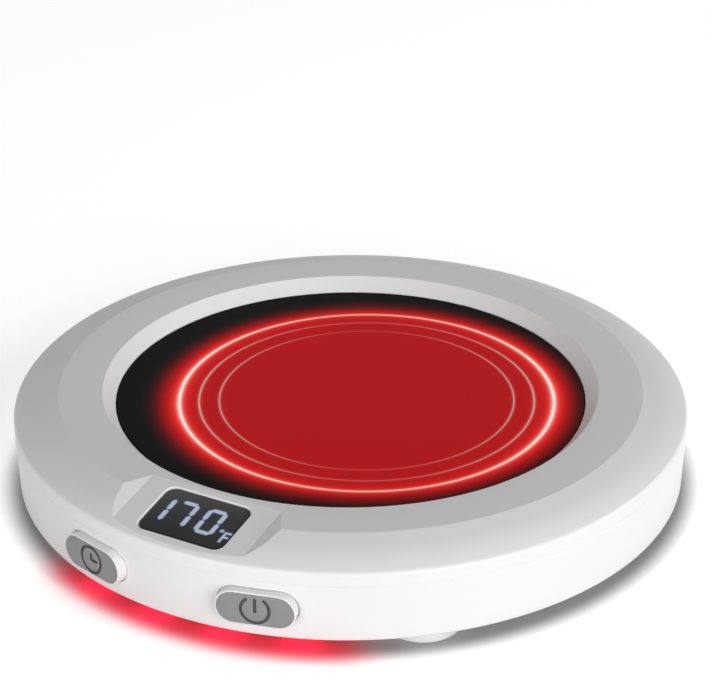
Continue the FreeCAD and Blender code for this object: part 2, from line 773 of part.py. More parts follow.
def foot_bosses(body):
    """Seats for the foot pads, with a boss, a counterbore and a hole over each."""
    x, y = round_axis(foot_circle, size("foot_angle"))
    ring = Drawing(body, "boss_circle", "XY_Plane", (ZERO, ZERO, floor_top))
    ring.circle(x, y, size("screw_boss_radius"))
    boss = pad(body, "boss", ring, size("screw_boss_height"))
    seat = Drawing(body, "foot_seat_circle", "XY_Plane", (ZERO, ZERO, casing_low))
    seat.circle(x, y, size("foot_radius") + fit)
    seat_cut = pocket(body, "foot_seat_cut", seat, size("foot_seat"), backwards=True)
    seat_top = casing_low + size("foot_seat")
    bore = Drawing(body, "head_circle", "XY_Plane", (ZERO, ZERO, seat_top))
    bore.circle(x, y, size("head_radius") + fit * 3)
    head = pocket(body, "head_bore", bore, size("head_depth"), backwards=True)
    hole = Drawing(body, "shank_circle", "XY_Plane", (ZERO, ZERO, seat_top))
    hole.circle(x, y, size("shank_radius") + fit * 3)
    through = pocket(body, "shank_hole", hole, post_low - seat_top, backwards=True)
    repeat_round(body, "feet_round", [boss, seat_cut, head, through], "foot_count")


def side_openings(body):
    """Flat-oval openings for the buttons and the round one for the gland."""
    depth = button_reach - lug_back()
    for side, name in ((1, "power"), (-1, "timer")):
        angle = size("button_angle")
        x, z = lug_back() * sine(angle) * side, lug_back() * cosine(angle)
        plan = Drawing(body, f"{name}_opening_plan", "XZ_Plane", (x, ZERO, z), Y_AXIS, angle * side)
        gap = size("button_gap") * 2
        plan.oval(ZERO, button_level, size("button_width") + gap, size("button_height") + gap)
        pocket(body, f"{name}_opening", plan, depth, backwards=True)
    plan = Drawing(body, "gland_plan", "XZ_Plane", (ZERO, ZERO, -gland_inner()))
    plan.circle(ZERO, button_level, gland_neck() + fit / 2)
    pocket(body, "gland_hole", plan, size("gland_length"))


def lug_back():
    return lug_reach - size("lug_thickness")


def gland_inner():
    return gland_reach - size("gland_length")


def gland_neck():
    return size("lead_radius") + size("gland_wall")


def plunger_tip():
    return lug_back() - size("stem_length")


def switch_front():
    return plunger_tip() - size("plunger_proud")


def switch_back():
    return switch_front() - size("switch_depth")


def switch_posts(body):
    """Slotted posts that hold the ends of the two upright switch boards."""
    near = switch_back() + fit / 2
    far = switch_back() - size("switch_board_thickness") - fit / 2
    middle = (near + far) / 2
    front, back = middle + size("slot_post_depth") / 2, middle - size("slot_post_depth") / 2
    end = size("switch_board_width") / 2
    slot, inner = end + fit, end - size("slot_depth")
    outer = inner + size("slot_post_width")
    for side, name in ((1, "power"), (-1, "timer")):
        angle = size("button_angle") * side
        plan = Drawing(body, f"{name}_post_plan", "XY_Plane", (ZERO, ZERO, floor_top), Z_AXIS, angle)
        for way in (1, -1):
            plan.outline([
                (inner * way, -front), (outer * way, -front), (outer * way, -back),
                (inner * way, -back), (inner * way, -far), (slot * way, -far),
                (slot * way, -near), (inner * way, -near),
            ])
        pad(body, f"{name}_posts", plan, size("slot_post_height"))


def glow_radii():
    outer = lower_radius - size("glow_inset")
    return outer - size("glow_width"), outer


def arc_strip(plan, inner, outer, first, last):
    """A strip that follows the casing's edge from one angle to another."""
    corners = [round_axis(outer, first), round_axis(outer, last)]
    corners += [round_axis(inner, last), round_axis(inner, first)]
    plan.outline([
        (*corners[0], Bend(outer)), corners[1], (*corners[2], Bend(inner, left=False)), corners[3],
    ])


def glow_slot(body):
    """The slot in the floor that takes the lit strip."""
    inner, outer = glow_radii()
    extra = size("glow_half_angle") + 0.1
    plan = Drawing(body, "glow_plan", "XY_Plane", (ZERO, ZERO, casing_low))
    first, last = size("glow_angle") - extra, size("glow_angle") + extra
    arc_strip(plan, inner - fit, outer + fit, first, last)
    pocket(body, "glow_opening", plan, size("floor") + fit, backwards=True)


def board_screw_places():
    half = size("board_width") / 2 - size("board_screw_inset")
    near = board_front + size("board_screw_inset")
    far = board_front + size("board_length") - size("board_screw_inset")
    return [(half * side, y) for side in (-1, 1) for y in (near, far)]


def board_posts(body):
    """Four posts under the control board, with holes for its screws."""
    posts = Drawing(body, "standoff_plan", "XY_Plane", (ZERO, ZERO, floor_top))
    holes = Drawing(body, "standoff_hole_plan", "XY_Plane", (ZERO, ZERO, board_low))
    for x, y in board_screw_places():
        posts.circle(x, y, size("standoff_radius"))
        holes.circle(x, y, size("small_shank_radius") + fit / 2)
    pad(body, "standoffs", posts, size("board_lift"))
    depth = size("board_screw_length") - size("board_thickness") + fit
    pocket(body, "standoff_holes", holes, depth)


def cord_bar_low():
    return button_level + size("lead_radius") - size("cord_squeeze")


def cord_posts(body):
    """Two posts and a rib that hold the supply lead under its bar."""
    place_y = cord_bar_place
    half = size("cord_post_spacing") / 2
    posts = Drawing(body, "cord_post_plan", "XY_Plane", (ZERO, ZERO, floor_top))
    holes = Drawing(body, "cord_hole_plan", "XY_Plane", (ZERO, ZERO, cord_bar_low()))
    for side in (-1, 1):
        posts.circle(half * side, place_y, size("cord_post_radius"))
        holes.circle(half * side, place_y, size("small_shank_radius") + fit / 2)
    pad(body, "cord_posts", posts, cord_bar_low() - floor_top)
    depth = size("cord_screw_length") - size("cord_bar_thickness") + fit
    pocket(body, "cord_holes", holes, depth)
    rib = Drawing(body, "cord_rib_plan", "XY_Plane", (ZERO, ZERO, floor_top))
    wide, deep = size("lead_radius"), size("cord_bar_width") / 2
    rib.box(-wide, wide, place_y - deep, place_y + deep)
    pad(body, "cord_rib", rib, button_level - size("lead_radius") - floor_top)


def air_slots(body):
    """A ring of slots through the floor under the heater."""
    near = size("vent_inner")
    far = near + size("vent_length")
    half = size("vent_width") / 2
    plan = Drawing(body, "vent_plan", "XY_Plane", (ZERO, ZERO, floor_top))
    plan.outline([
        (near, -half), (far, -half, Bend(half)), (far, half), (near, half, Bend(half)),
    ])
    slot = pocket(body, "vent", plan, size("floor"))
    repeat_round(body, "vents_round", [slot], "vent_count")


# Heated plate and what is pressed against it

def heated_plate():
    body = new_body("heating_plate")
    edge = size("plate_edge_radius")
    section = Drawing(body, "plate_section", "XZ_Plane")
    section.outline([
        (ZERO, flange_low), (flange_radius, flange_low), (flange_radius, flange_top),
        (plate_radius, flange_top), (plate_radius, plate_top - edge, Bend(edge)),
        (plate_radius - edge, plate_top), (ZERO, plate_top),
    ])
    revolve(body, "plate_disc", section)
    return body


def heater_pan():
    """The steel pan that presses the heater up, with three ears for its screws."""
    body = new_body("heater_clamp")
    sheet_metal = size("pan_thickness")
    section = Drawing(body, "pan_section", "XZ_Plane")
    hole = size("sensor_stem") + fit * 2
    rim = pan_radius
    section.outline([
        (hole, pan_low), (rim, pan_low), (rim, flange_low - sheet_metal),
        (collar_outer, flange_low - sheet_metal), (collar_outer, flange_low),
        (rim - sheet_metal, flange_low), (rim - sheet_metal, pan_low + sheet_metal),
        (hole, pan_low + sheet_metal),
    ])
    revolve(body, "pan", section)
    screw_reach = collar_outer + size("ear_reach") / 2
    angle = size("clamp_angle") - 90
    ears = Drawing(
        body, "ear_plan", "XY_Plane", (ZERO, ZERO, flange_low - sheet_metal), Z_AXIS, angle)
    half = size("ear_width") / 2
    ears.box(collar_inner, collar_outer + size("ear_reach"), -half, half)
    ear = pad(body, "ear", ears, sheet_metal)
    holes = Drawing(body, "ear_hole_plan", "XY_Plane", (ZERO, ZERO, flange_low), Z_AXIS, angle)
    holes.circle(screw_reach, ZERO, size("small_shank_radius") + fit)
    hole_cut = pocket(body, "ear_hole", holes, sheet_metal)
    repeat_round(body, "ears_round", [ear, hole_cut], "clamp_count")
    posts = Drawing(body, "terminal_hole_plan", "XY_Plane", (ZERO, ZERO, pan_low + sheet_metal))
    for x, y in terminal_places():
        posts.circle(x, y, size("terminal_side"))
    pocket(body, "terminal_holes", posts, sheet_metal)
    return body


def terminal_places():
    half = size("terminal_spacing") / 2
    y = -size("terminal_y")
    return [(-(size("terminal_x") - half), y), (-(size("terminal_x") + half), y)]


def heater_stack():
    """Seal, flat heater and insulation, one over the other between the plate and the pan."""
    washer("plate_seal", opening_radius + fit, flange_radius, flange_top, size("seal_thickness"))
    radius, thick = heater_radius, size("heater_thickness")
    low = flange_low - thick
    washer("heater_element", size("sensor_stem") * 2, radius, low, thick)
    thick = size("pad_thickness")
    pad_low = low - thick
    disc = rod("pad_disc", (ZERO, ZERO, pad_low), radius + size("pan_room") / 2, thick)
    under = pad_low - thick
    tools = [rod("pad_hole", (ZERO, ZERO, under), size("sensor_stem") + fit * 4, thick * 3)]
    posts = []
    side = size("terminal_side")
    post_foot = pan_low - size("terminal_drop")
    for index, (x, y) in enumerate(terminal_places()):
        tools.append(rod(f"pad_post_hole{index}", (x, y, under), side, thick * 3))
        posts.append(block(f"terminal{index}", (x, y, post_foot), side, side, low - post_foot))
    cut("insulation_pad", disc, join("pad_holes", *tools))
    join("heater_terminals", *posts)


def plate_sensor():
    """A square block under the pan with a stem that reaches up to the plate."""
    side, height = size("sensor_block"), size("sensor_height")
    low = pan_low - height
    base = block("sensor_base", (ZERO, ZERO, low), side, side, height)
    stem = rod("sensor_post", (ZERO, ZERO, low), size("sensor_stem"), flange_low - low)
    join("temperature_sensor", base, stem)


def thermal_cutout():
    """The fuse lies along Y against the pan's underside, held by a bent strap."""
    radius, length = size("fuse_radius"), size("fuse_length")
    x, y = size("fuse_x"), -size("fuse_y")
    level = fuse_level()
    fuse = rod("thermal_fuse", (x, y - length / 2, level), radius, length, -X_AXIS, QUARTER)
    fuse.Label = "thermal_fuse"
    wide, sheet_metal = size("clip_width"), size("clip_thickness")
    inner, outer = radius + fit / 2, radius + fit / 2 + sheet_metal
    shell = rod("clip_outer", (x, y - wide / 2, level), outer, wide, -X_AXIS, QUARTER)
    foot = size("clip_foot")
    feet = block("clip_feet", (x, y, pan_low - sheet_metal), (outer + foot) * 2, wide, sheet_metal)
    above = block("clip_above", (x, y, pan_low), (outer + foot) * 3, wide * 2, outer * 2)
    bore = rod("clip_bore", (x, y - wide, level), inner, wide * 2, -X_AXIS, QUARTER)
    slot = block("clip_slot", (x, y, level), inner * 2, wide * 2, outer * 2)
    solid_clip = join("clip_solid", shell, feet)
    cut("fuse_clip", solid_clip, join("clip_room", above, bore, slot))


def fuse_level():
    return pan_low - size("fuse_radius") - fit / 5


def clamp_screw_places():
    reach = collar_outer + size("ear_reach") / 2
    step = 360 / size("clamp_count")
    level = flange_low - size("pan_thickness")
    places = []
    for index in range(counted("clamp_count")):
        x, y = round_axis(reach, size("clamp_angle") + step * index)
        places.append((x, y, level))
    return places


# Display

def strip_place(thing):
    """Sets a thing made flat at the origin down on the floor of the display's cut."""
    place(thing, (ZERO, -strip_start, band_top), X_AXIS, size("strip_slope"))


def bar(name, x, y, length, width, upright, low, height):
    """One bar of a figure, with pointed ends, as a solid."""
    along, across = length / 2, width / 2
    body = new_body(name)
    plan = Drawing(body, f"{name}_plan", "XY_Plane", (ZERO, ZERO, low))
    if upright:
        plan.outline([
            (x, y - along), (x + across, y - along + across), (x + across, y + along - across),
            (x, y + along), (x - across, y + along - across), (x - across, y - along + across),
        ])
    else:
        plan.outline([
            (x - along, y), (x - along + across, y - across), (x + along - across, y - across),
            (x + along, y), (x + along - across, y + across), (x - along + across, y + across),
        ])
    pad(body, f"{name}_bar", plan, height)
    return body


FIGURES = {
    "one": ("one_place", ("upper_right", "lower_right")),
    "seven": ("seven_place", ("top", "upper_right", "lower_right")),
    "zero": ("zero_place", ("top", "upper_right", "lower_right", "bottom", "lower_left", "upper_left")),
}


def lit_figures():
    """The figures 170, the degree ring and the F, as solids set into the window."""
    low = -size("window_recess") - size("digit_depth")
    depth = size("digit_depth")
    half_w, half_h = size("digit_half_width"), size("digit_half_height")
    wide, gap = size("digit_bar"), size("digit_gap")
    row = -size("digit_row")
    flat_length, tall_length = half_w * 2 - gap, half_h - gap
    bars = {
        "top": (ZERO, half_h, flat_length, False),
        "bottom": (ZERO, -half_h, flat_length, False),
        "upper_right": (half_w, half_h / 2, tall_length, True),
        "lower_right": (half_w, -half_h / 2, tall_length, True),
        "upper_left": (-half_w, half_h / 2, tall_length, True),
        "lower_left": (-half_w, -half_h / 2, tall_length, True),
    }
    pieces = []
    for figure, (middle, names) in FIGURES.items():
        for name in names:
            x, y, length, upright = bars[name]
            label = f"{figure}_{name}"
            pieces.append(bar(label, size(middle) + x, row + y, length, wide, upright, low, depth))
    pieces += unit_sign(low, depth)
    digits = join("display_digits", *pieces)
    strip_place(digits)
    return pieces


def unit_sign(low, depth):
    """The small degree ring and the F."""
    thin = size("letter_bar")
    left, foot = size("letter_place"), -size("letter_row")
    tall, broad = size("letter_height"), size("letter_width")
    middle = foot + tall * 0.52
    letter = new_body("letter")
    plan = Drawing(letter, "letter_plan", "XY_Plane", (ZERO, ZERO, low))
    plan.outline([
        (left - thin / 2, foot), (left + thin / 2, foot), (left + thin / 2, middle - thin / 2),
        (left + broad * 0.9, middle - thin / 2), (left + broad * 0.9, middle + thin / 2),
        (left + thin / 2, middle + thin / 2), (left + thin / 2, foot + tall - thin),
        (left + broad, foot + tall - thin), (left + broad, foot + tall), (left - thin / 2, foot + tall),
    ])
    pad(letter, "letter_bars", plan, depth)
    radius = size("ring_radius")
    centre = (size("ring_place"), -size("ring_row"), low)
    under = (size("ring_place"), -size("ring_row"), low - depth)
    outer = rod("degree_outer", centre, radius, depth)
    inner = rod("degree_inner", under, radius * 0.5, depth * 3)
    return [letter, cut("degree_ring", outer, inner)]


def display_parts():
    """Window, light block, board and screws, each parallel to the floor of the cut."""
    low, high = window_span()
    middle = (low + high) / 2
    recess, thick = size("window_recess"), size("window_thickness")
    half = size("window_width") / 2
    pane = new_body("pane")
    plan = Drawing(pane, "pane_plan", "XY_Plane", (ZERO, ZERO, -recess - thick))
    corner = size("window_corner") - fit
    plan.box(-half + fit, half - fit, low + fit, high - fit, corner)
    pad(pane, "pane_plate", plan, thick)
    figures = lit_figures()
    room = join("figure_room", *figures)
    window = cut("display_window", pane, room)
    strip_place(window)

    ledge = size("window_ledge") + fit * 2
    top = -recess - thick - size("block_gap")
    width, length = half * 2 - ledge * 2, high - low - ledge * 2
    deep = size("block_thickness")
    lamp = block("light_block", (ZERO, middle, top - deep), width, length, deep)
    lamp.Label = "light_block"
    strip_shift(lamp, -width / 2, middle - length / 2, top - deep)

    board = new_body("display_board")
    plate = size("display_board_thickness")
    plan = Drawing(board, "display_board_plan", "XY_Plane", (ZERO, ZERO, top - deep - plate))
    across, along = size("display_board_width") / 2, size("display_board_length") / 2
    plan.box(-across, across, middle - along, middle + along)
    for side in (-1, 1):
        plan.circle(size("display_screw_place") * side, middle, size("small_shank_radius") + fit)
    pad(board, "display_board_plate", plan, plate)
    strip_place(board)

    heads = []
    under = top - deep - plate
    for index, side in enumerate((-1, 1)):
        x = size("display_screw_place") * side
        heads.append((x, middle, under))
    fixed = screws("display_screws", heads, size("small_head_radius") - fit,
                   size("small_head_height") - fit, size("small_shank_radius"),
                   size("display_screw_length") + plate)
    strip_place(fixed)


def strip_shift(thing, x, y, z):
    """Sets a box down by its corner, given in the display's own tilted frame."""
    slope = size("strip_slope")
    where = (
        x,
        -strip_start + y * cosine(slope) - z * sine(slope),
        band_top + y * sine(slope) + z * cosine(slope),
    )
    place(thing, where, X_AXIS, slope)


# Buttons and switches, made facing -Y and then turned round the axis

def button_cap(name, angle):
    """The white cap with its lugs and stem, and a shallow seat for the grey face."""
    body = new_body(f"{name}_button")
    width, height = size("button_width"), size("button_height")
    front = button_reach - size("face_proud")
    lug = Drawing(body, f"{name}_lug_plan", "XZ_Plane", (ZERO, ZERO, lug_back()))
    lug_width = width + size("lug_overhang") * 2
    lug.oval(ZERO, button_level, lug_width, height)
    pad(body, f"{name}_lugs", lug, size("lug_thickness"))
    cap = Drawing(body, f"{name}_cap_plan", "XZ_Plane", (ZERO, ZERO, lug_back()))
    cap.oval(ZERO, button_level, width, height)
    pad(body, f"{name}_cap", cap, front - lug_back())
    stem = Drawing(body, f"{name}_stem_plan", "XZ_Plane", (ZERO, ZERO, lug_back()))
    stem.circle(ZERO, button_level, size("stem_radius"))
    pad(body, f"{name}_stem", stem, size("stem_length"), backwards=True)
    seat = Drawing(body, f"{name}_seat_plan", "XZ_Plane", (ZERO, ZERO, front))
    inset = size("face_inset") * 2
    seat.oval(ZERO, button_level, width - inset, height - inset)
    pocket(body, f"{name}_seat", seat, size("face_depth"))
    turned(body, angle)


def sign_ring(body, name, opening):
    """A ring-shaped groove, open at the top by an angle on each side where one is given."""
    radius, half = size("sign_radius"), size("groove_width") / 2
    plan = Drawing(body, f"{name}_ring_plan", "XZ_Plane", (ZERO, ZERO, button_reach))
    if opening is None:
        plan.circle(ZERO, button_level, radius + half)
        plan.circle(ZERO, button_level, radius - half)
    else:
        plan_open_ring(plan, radius, half, opening)
    pocket(body, f"{name}_ring", plan, size("groove_depth"))


def plan_open_ring(plan, radius, half, opening):
    """The outline of a ring with an opening at its top, drawn in four quarters."""
    inner, outer = radius - half, radius + half
    stops = [QUARTER + opening, as_size(180), as_size(270), as_size(360), 450 - opening]

    def at(reach, angle):
        return reach * cosine(angle), button_level + reach * sine(angle)

    corners = [(*at(outer, angle), Bend(outer)) for angle in stops[:-1]]
    corners.append((*at(outer, stops[-1]), Bend(half)))
    backwards = stops[::-1]
    corners += [(*at(inner, angle), Bend(inner, left=False)) for angle in backwards[:-1]]
    corners.append((*at(inner, backwards[-1]), Bend(half)))
    plan.outline(corners)


def button_face(name, angle):
    """The grey face with its engraved sign."""
    body = new_body(f"{name}_button_face")
    inset = size("face_inset") * 2 + fit
    back = button_reach - size("face_proud") - size("face_depth")
    plan = Drawing(body, f"{name}_face_plan", "XZ_Plane", (ZERO, ZERO, back))
    width, height = size("button_width") - inset, size("button_height") - inset
    plan.oval(ZERO, button_level, width, height)
    pad(body, f"{name}_face_plate", plan, size("face_depth") + size("face_proud"))
    sign_ring(body, name, size("power_gap") if name == "power" else None)
    half = size("groove_width") / 2
    marks = Drawing(body, f"{name}_mark_plan", "XZ_Plane", (ZERO, ZERO, button_reach))
    if name == "power":
        foot, head = size("power_bar_foot"), size("power_bar_head")
        marks.box(-half, half, button_level + foot, button_level + head)
    else:
        up, side = size("clock_hand_up"), size("clock_hand_side")
        marks.outline([
            (-half, button_level - half), (side, button_level - half),
            (side, button_level + half), (half, button_level + half),
            (half, button_level + up), (-half, button_level + up),
        ])
    pocket(body, f"{name}_marks", marks, size("groove_depth"))
    turned(body, angle)


def push_switch(name, angle):
    """The switch, its plunger and the upright board behind it."""
    body = new_body(f"{name}_switch")
    half = size("switch_side") / 2
    plan = Drawing(body, f"{name}_switch_plan", "XZ_Plane", (ZERO, ZERO, switch_back()))
    plan.box(-half, half, button_level - half, button_level + half)
    pad(body, f"{name}_switch_box", plan, size("switch_depth"))
    bore = Drawing(body, f"{name}_bore_plan", "XZ_Plane", (ZERO, ZERO, switch_front()))
    radius = size("plunger_radius")
    bore.circle(ZERO, button_level, radius + size("plunger_fit"))
    depth = size("plunger_sunk") + size("button_travel") + fit
    pocket(body, f"{name}_bore", bore, depth)
    turned(body, angle)

    plunger = new_body(f"{name}_switch_plunger")
    foot = switch_front() - size("plunger_sunk")
    plan = Drawing(plunger, f"{name}_plunger_plan", "XZ_Plane", (ZERO, ZERO, foot))
    plan.circle(ZERO, button_level, radius)
    pad(plunger, f"{name}_plunger_rod", plan, plunger_tip() - foot)
    turned(plunger, angle)

    board = new_body(f"{name}_switch_board")
    thick, width = size("switch_board_thickness"), size("switch_board_width") / 2
    plan = Drawing(board, f"{name}_board_plan", "XZ_Plane", (ZERO, ZERO, switch_back() - thick))
    plan.box(-width, width, floor_top, floor_top + size("switch_board_height"))
    pad(board, f"{name}_board_plate", plan, thick)
    turned(board, angle)


# Lit strip under the front edge

def light_angles():
    count = counted("light_count")
    middle = (size("light_count") - 1) / 2
    spacing = size("light_spacing")
    return [size("glow_angle") + spacing * (index - middle) for index in range(count)]


def lit_strip():
    inner, outer = glow_radii()
    half = size("glow_half_angle")
    first, last = size("glow_angle") - half, size("glow_angle") + half
    lens = new_body("glow_lens")
    plan = Drawing(lens, "lens_plan", "XY_Plane", (ZERO, ZERO, casing_low))
    arc_strip(plan, inner, outer, first, last)
    pad(lens, "lens_strip", plan, size("glow_lens_thickness"))

    board = new_body("glow_board")
    plan = Drawing(board, "glow_board_plan", "XY_Plane", (ZERO, ZERO, floor_top))
    middle, wide = (inner + outer) / 2, size("glow_board_width") / 2
    arc_strip(plan, middle - wide, middle + wide, first - 1, last + 1)
    pad(board, "glow_board_strip", plan, size("glow_board_thickness"))

    lights = []
    tall = size("light_height")
    for index, angle in enumerate(light_angles()):
        length, width = size("light_length"), size("light_width")
        chip = solid("Box", f"light{index}", Length=length, Width=width, Height=tall)
        x, y = round_axis(middle, angle)
        x = x - length / 2 * cosine(angle) + width / 2 * sine(angle)
        y = y - length / 2 * sine(angle) - width / 2 * cosine(angle)
        turned(chip, angle, (x, y, floor_top - tall))
        lights.append(chip)
    join("glow_lights", *lights)


# Control board and what is on it

def electronics():
    board = new_body("control_board")
    half, near = size("board_width") / 2, board_front
    far = near + size("board_length")
    plan = Drawing(board, "board_plan", "XY_Plane", (ZERO, ZERO, board_low))
    plan.box(-half, half, near, far, size("board_corner"))
    for x, y in board_screw_places():
        plan.circle(x, y, size("small_shank_radius") + fit)
    pad(board, "board_plate", plan, size("board_thickness"))

    side = size("chip_side")
    chip_y = near + size("board_length") * 0.56
    chip = block("microcontroller", (-side, chip_y, board_top), side, side, size("chip_height"))
    chip.Label = "microcontroller"
    cans = []
    for index, row_share in enumerate((0.45, 0.72)):
        place_xy = (half * 0.18, near + size("board_length") * row_share, board_top)
        cans.append(rod(f"can{index}", place_xy, size("capacitor_radius"), size("capacitor_height")))
    join("capacitors", *cans)
    side = size("triac_side")
    triac = block("triac", (half * 0.62, chip_y, board_top), side, side, size("triac_height"))
    triac.Label = "triac"

    plugs = []
    front = near + size("connector_inset") + size("connector_depth") / 2
    for name, middle in plug_places().items():
        plugs.append(block(f"{name}_socket", (middle, front, board_top), plug_width(name),
                           size("connector_depth"), size("connector_height")))
    join("connectors", *plugs)
    heads = [(x, y, board_top) for x, y in board_screw_places()]
    screws("board_screws", heads, size("small_head_radius"), size("small_head_height"),
           size("small_shank_radius"), size("board_screw_length"), up=False)


PLUGS = ("glow", "timer", "heater", "display", "sensor", "power", "fuse")


def plug_width(name):
    return size("wire_spacing") * size(f"{name}_wire_count") + size("connector_end") * 2


def plug_places():
    """The connectors along the board's front edge, evenly spread between its screws."""
    edge = size("board_width") / 2 - size("board_screw_inset") - size("small_head_radius")
    taken = ZERO
    for name in PLUGS:
        taken = taken + plug_width(name)
    gap = (edge * 2 - taken) / (len(PLUGS) + 1)
    places, start = {}, -edge
    for name in PLUGS:
        places[name] = start + gap + plug_width(name) / 2
        start = start + gap + plug_width(name)
    return places


# Inner wires

def tube(points, radius):
    """A round wire through straight runs joined by tangent arcs."""
    dots = [FreeCAD.Vector(*point) for point in points]
    edges = []
    start = dots[0]
    for index in range(1, len(dots) - 1):
        before, corner, after = dots[index - 1], dots[index], dots[index + 1]
        runs = (before - corner).Length, (after - corner).Length
        to_before, to_after = (before - corner).normalize(), (after - corner).normalize()
        turn = math.pi - to_before.getAngle(to_after)
        back = 0.45 * min(runs)
        bend_radius = back / math.tan(turn / 2)
        first, last = corner + to_before * back, corner + to_after * back
        inward = (to_before + to_after).normalize()
        middle = corner + inward * (bend_radius / math.cos(turn / 2) - bend_radius)
        edges.append(Part.LineSegment(start, first).toShape())
        edges.append(Part.Arc(first, middle, last).toShape())
        start = last
    edges.append(Part.LineSegment(start, dots[-1]).toShape())
    path = Part.Wire(edges)
    along = (dots[1] - dots[0]).normalize()
    profile = Part.Wire([Part.Circle(dots[0], along, radius).toShape()])
    made = path.makePipeShell([profile], True, False)
    expected = math.pi * radius ** 2 * path.Length
    if abs(made.Volume - expected) > 0.02 * expected:
        raise RuntimeError("a wire's volume doesn't match its length")
    return made


def plug_face(name, index=0):
    """Where a wire meets its connector's front face."""
    shift = size("wire_spacing") * (index - (size(f"{name}_wire_count") - 1) / 2)
    return (plug_places()[name] + shift).number, (board_front + size("connector_inset")).number


def heater_wires():
    """One wire from the heater to the board, and one each side of the fuse."""
    radius = size("wire_radius").number
    (near_x, near_y), (far_x, far_y) = [(x.number, y.number) for x, y in terminal_places()]
    half = size("terminal_side").number / 2
    level = sensor_wire_level()
    end_x, end_y = plug_face("heater")
    start_y, run = far_y + half, end_y - far_y - half
    direct = tube([
        (far_x, start_y, level), (far_x, start_y + run * 0.25, level),
        (end_x, start_y + run * 0.75, level), (end_x, end_y, level),
    ], radius)

    level = fuse_level().number
    x, y = size("fuse_x").number, -size("fuse_y").number
    half_fuse = size("fuse_length").number / 2
    loop_y = near_y - size("fuse_wire_reach").number
    front = tube([
        (x, y - half_fuse, level), (x, loop_y, level), (near_x, loop_y, level),
        (near_x, near_y - half, level),
    ], radius)
    end_x, end_y = plug_face("fuse")
    start_y, run = y + half_fuse, end_y - y - half_fuse
    back = tube([
        (x, start_y, level), (x, start_y + run * 0.25, level),
        (end_x, start_y + run * 0.75, level), (end_x, end_y, level),
    ], radius)
    group("heater_leads", [direct, front, back])


def sensor_wire_level():
    return (pan_low - size("sensor_height") / 2 - size("wire_radius") / 2).number


def low_wire_level():
    return (board_low + size("wire_level")).number


def sensor_wires():
    made = []
    level = sensor_wire_level()
    start_y = size("sensor_block").number / 2
    for index in range(counted("sensor_wire_count")):
        x = size("wire_spacing").number * (index - 0.5)
        end_x, end_y = plug_face("sensor", index)
        run = end_y - start_y
        made.append(tube([
            (x, start_y, level), (x, start_y + run * 0.25, level),
            (end_x, start_y + run * 0.75, level), (end_x, end_y, level),
        ], size("wire_radius").number))
    group("sensor_leads", made)


def display_wires():
    """Four wires from the display board, square to it at first."""
    slope = math.radians(size("strip_slope").number)
    depth = (board_depth() + size("display_board_thickness")).number
    row = (size("window_setback") + size("window_length") / 2).number
    start_y = depth * math.sin(slope) - strip_start.number - row * math.cos(slope)
    start_z = band_top.number - row * math.sin(slope) - depth * math.cos(slope)
    low = low_wire_level()
    made = []
    for index in range(counted("display_wire_count")):
        x, end_y = plug_face("display", index)
        turn_y = start_y + (start_z - low) * math.tan(slope)
        made.append(tube([
            (x, start_y, start_z), (x, turn_y, low), (x, end_y, low),
        ], size("thin_wire_radius").number))
    group("display_leads", made)


def switch_wires():
    """Two wires from the back of each switch board."""
    back = (switch_back() - size("switch_board_thickness")).number
    spacing, low = size("wire_spacing").number, low_wire_level()
    made = []
    for name, side in (("power", 1), ("timer", -1)):
        angle = math.radians(size("button_angle").number) * side
        outward, across = (math.sin(angle), -math.cos(angle)), (math.cos(angle), math.sin(angle))
        for index in range(counted(f"{name}_wire_count")):
            shift = spacing * (index - 0.5)
            end_x, end_y = plug_face(name, index)
            points = []
            for reach in (back, back * 0.85):
                x, y = outward[0] * reach + across[0] * shift, outward[1] * reach + across[1] * shift
                points.append((x, y, low))
            points += [(end_x, -back * 0.45, low), (end_x, end_y, low)]
            made.append(tube(points, size("wire_radius").number))
    group("switch_leads", made)


def glow_wires():
    """Two wires from the inner edge of the board over the lit strip."""
    inner, outer = glow_radii()
    edge = ((inner + outer) / 2 - size("glow_board_width") / 2).number
    level = (floor_top + size("glow_board_thickness") / 2 + fit / 2).number
    low = low_wire_level()
    end_angle = (size("glow_angle") - size("glow_half_angle")).number
    made = []
    for index in range(counted("glow_wire_count")):
        angle = math.radians(end_angle + index - 0.5)
        end_x, end_y = plug_face("glow", index)
        points = []
        for reach in (edge - fit.number / 5, edge * 0.86):
            points.append((math.sin(angle) * reach, -math.cos(angle) * reach, level))
        points += [(end_x, -edge * 0.4, low), (end_x, end_y, low)]
        made.append(tube(points, size("thin_wire_radius").number))
    group("glow_leads", made)


# Feet, gland and fasteners

FOOT_NAMES = ("foot_right", "foot_rear", "foot_left")


def feet():
    """Soft pads in the floor's seats, over the casing's screws."""
    step = 360 / size("foot_count")
    edge, radius = size("foot_edge"), size("foot_radius")
    top = casing_low + size("foot_seat")
    for index, name in enumerate(FOOT_NAMES):
        body = new_body(name)
        section = Drawing(body, f"{name}_section", "XZ_Plane")
        section.outline([
            (ZERO, ZERO), (radius - edge, ZERO, Bend(edge)), (radius, edge),
            (radius, top), (ZERO, top),
        ])
        revolve(body, f"{name}_disc", section)
        x, y = round_axis(foot_circle, size("foot_angle") + step * index)
        place(body, (x, y, ZERO))


def casing_screws():
    step = 360 / size("foot_count")
    places = []
    level = casing_low + size("foot_seat") + size("head_depth")
    for index in range(counted("foot_count")):
        x, y = round_axis(foot_circle, size("foot_angle") + step * index)
        places.append((x, y, level))
    screws("housing_screws", places, size("head_radius"), size("head_height"),
           size("shank_radius"), size("shank_length") + post_low - level)


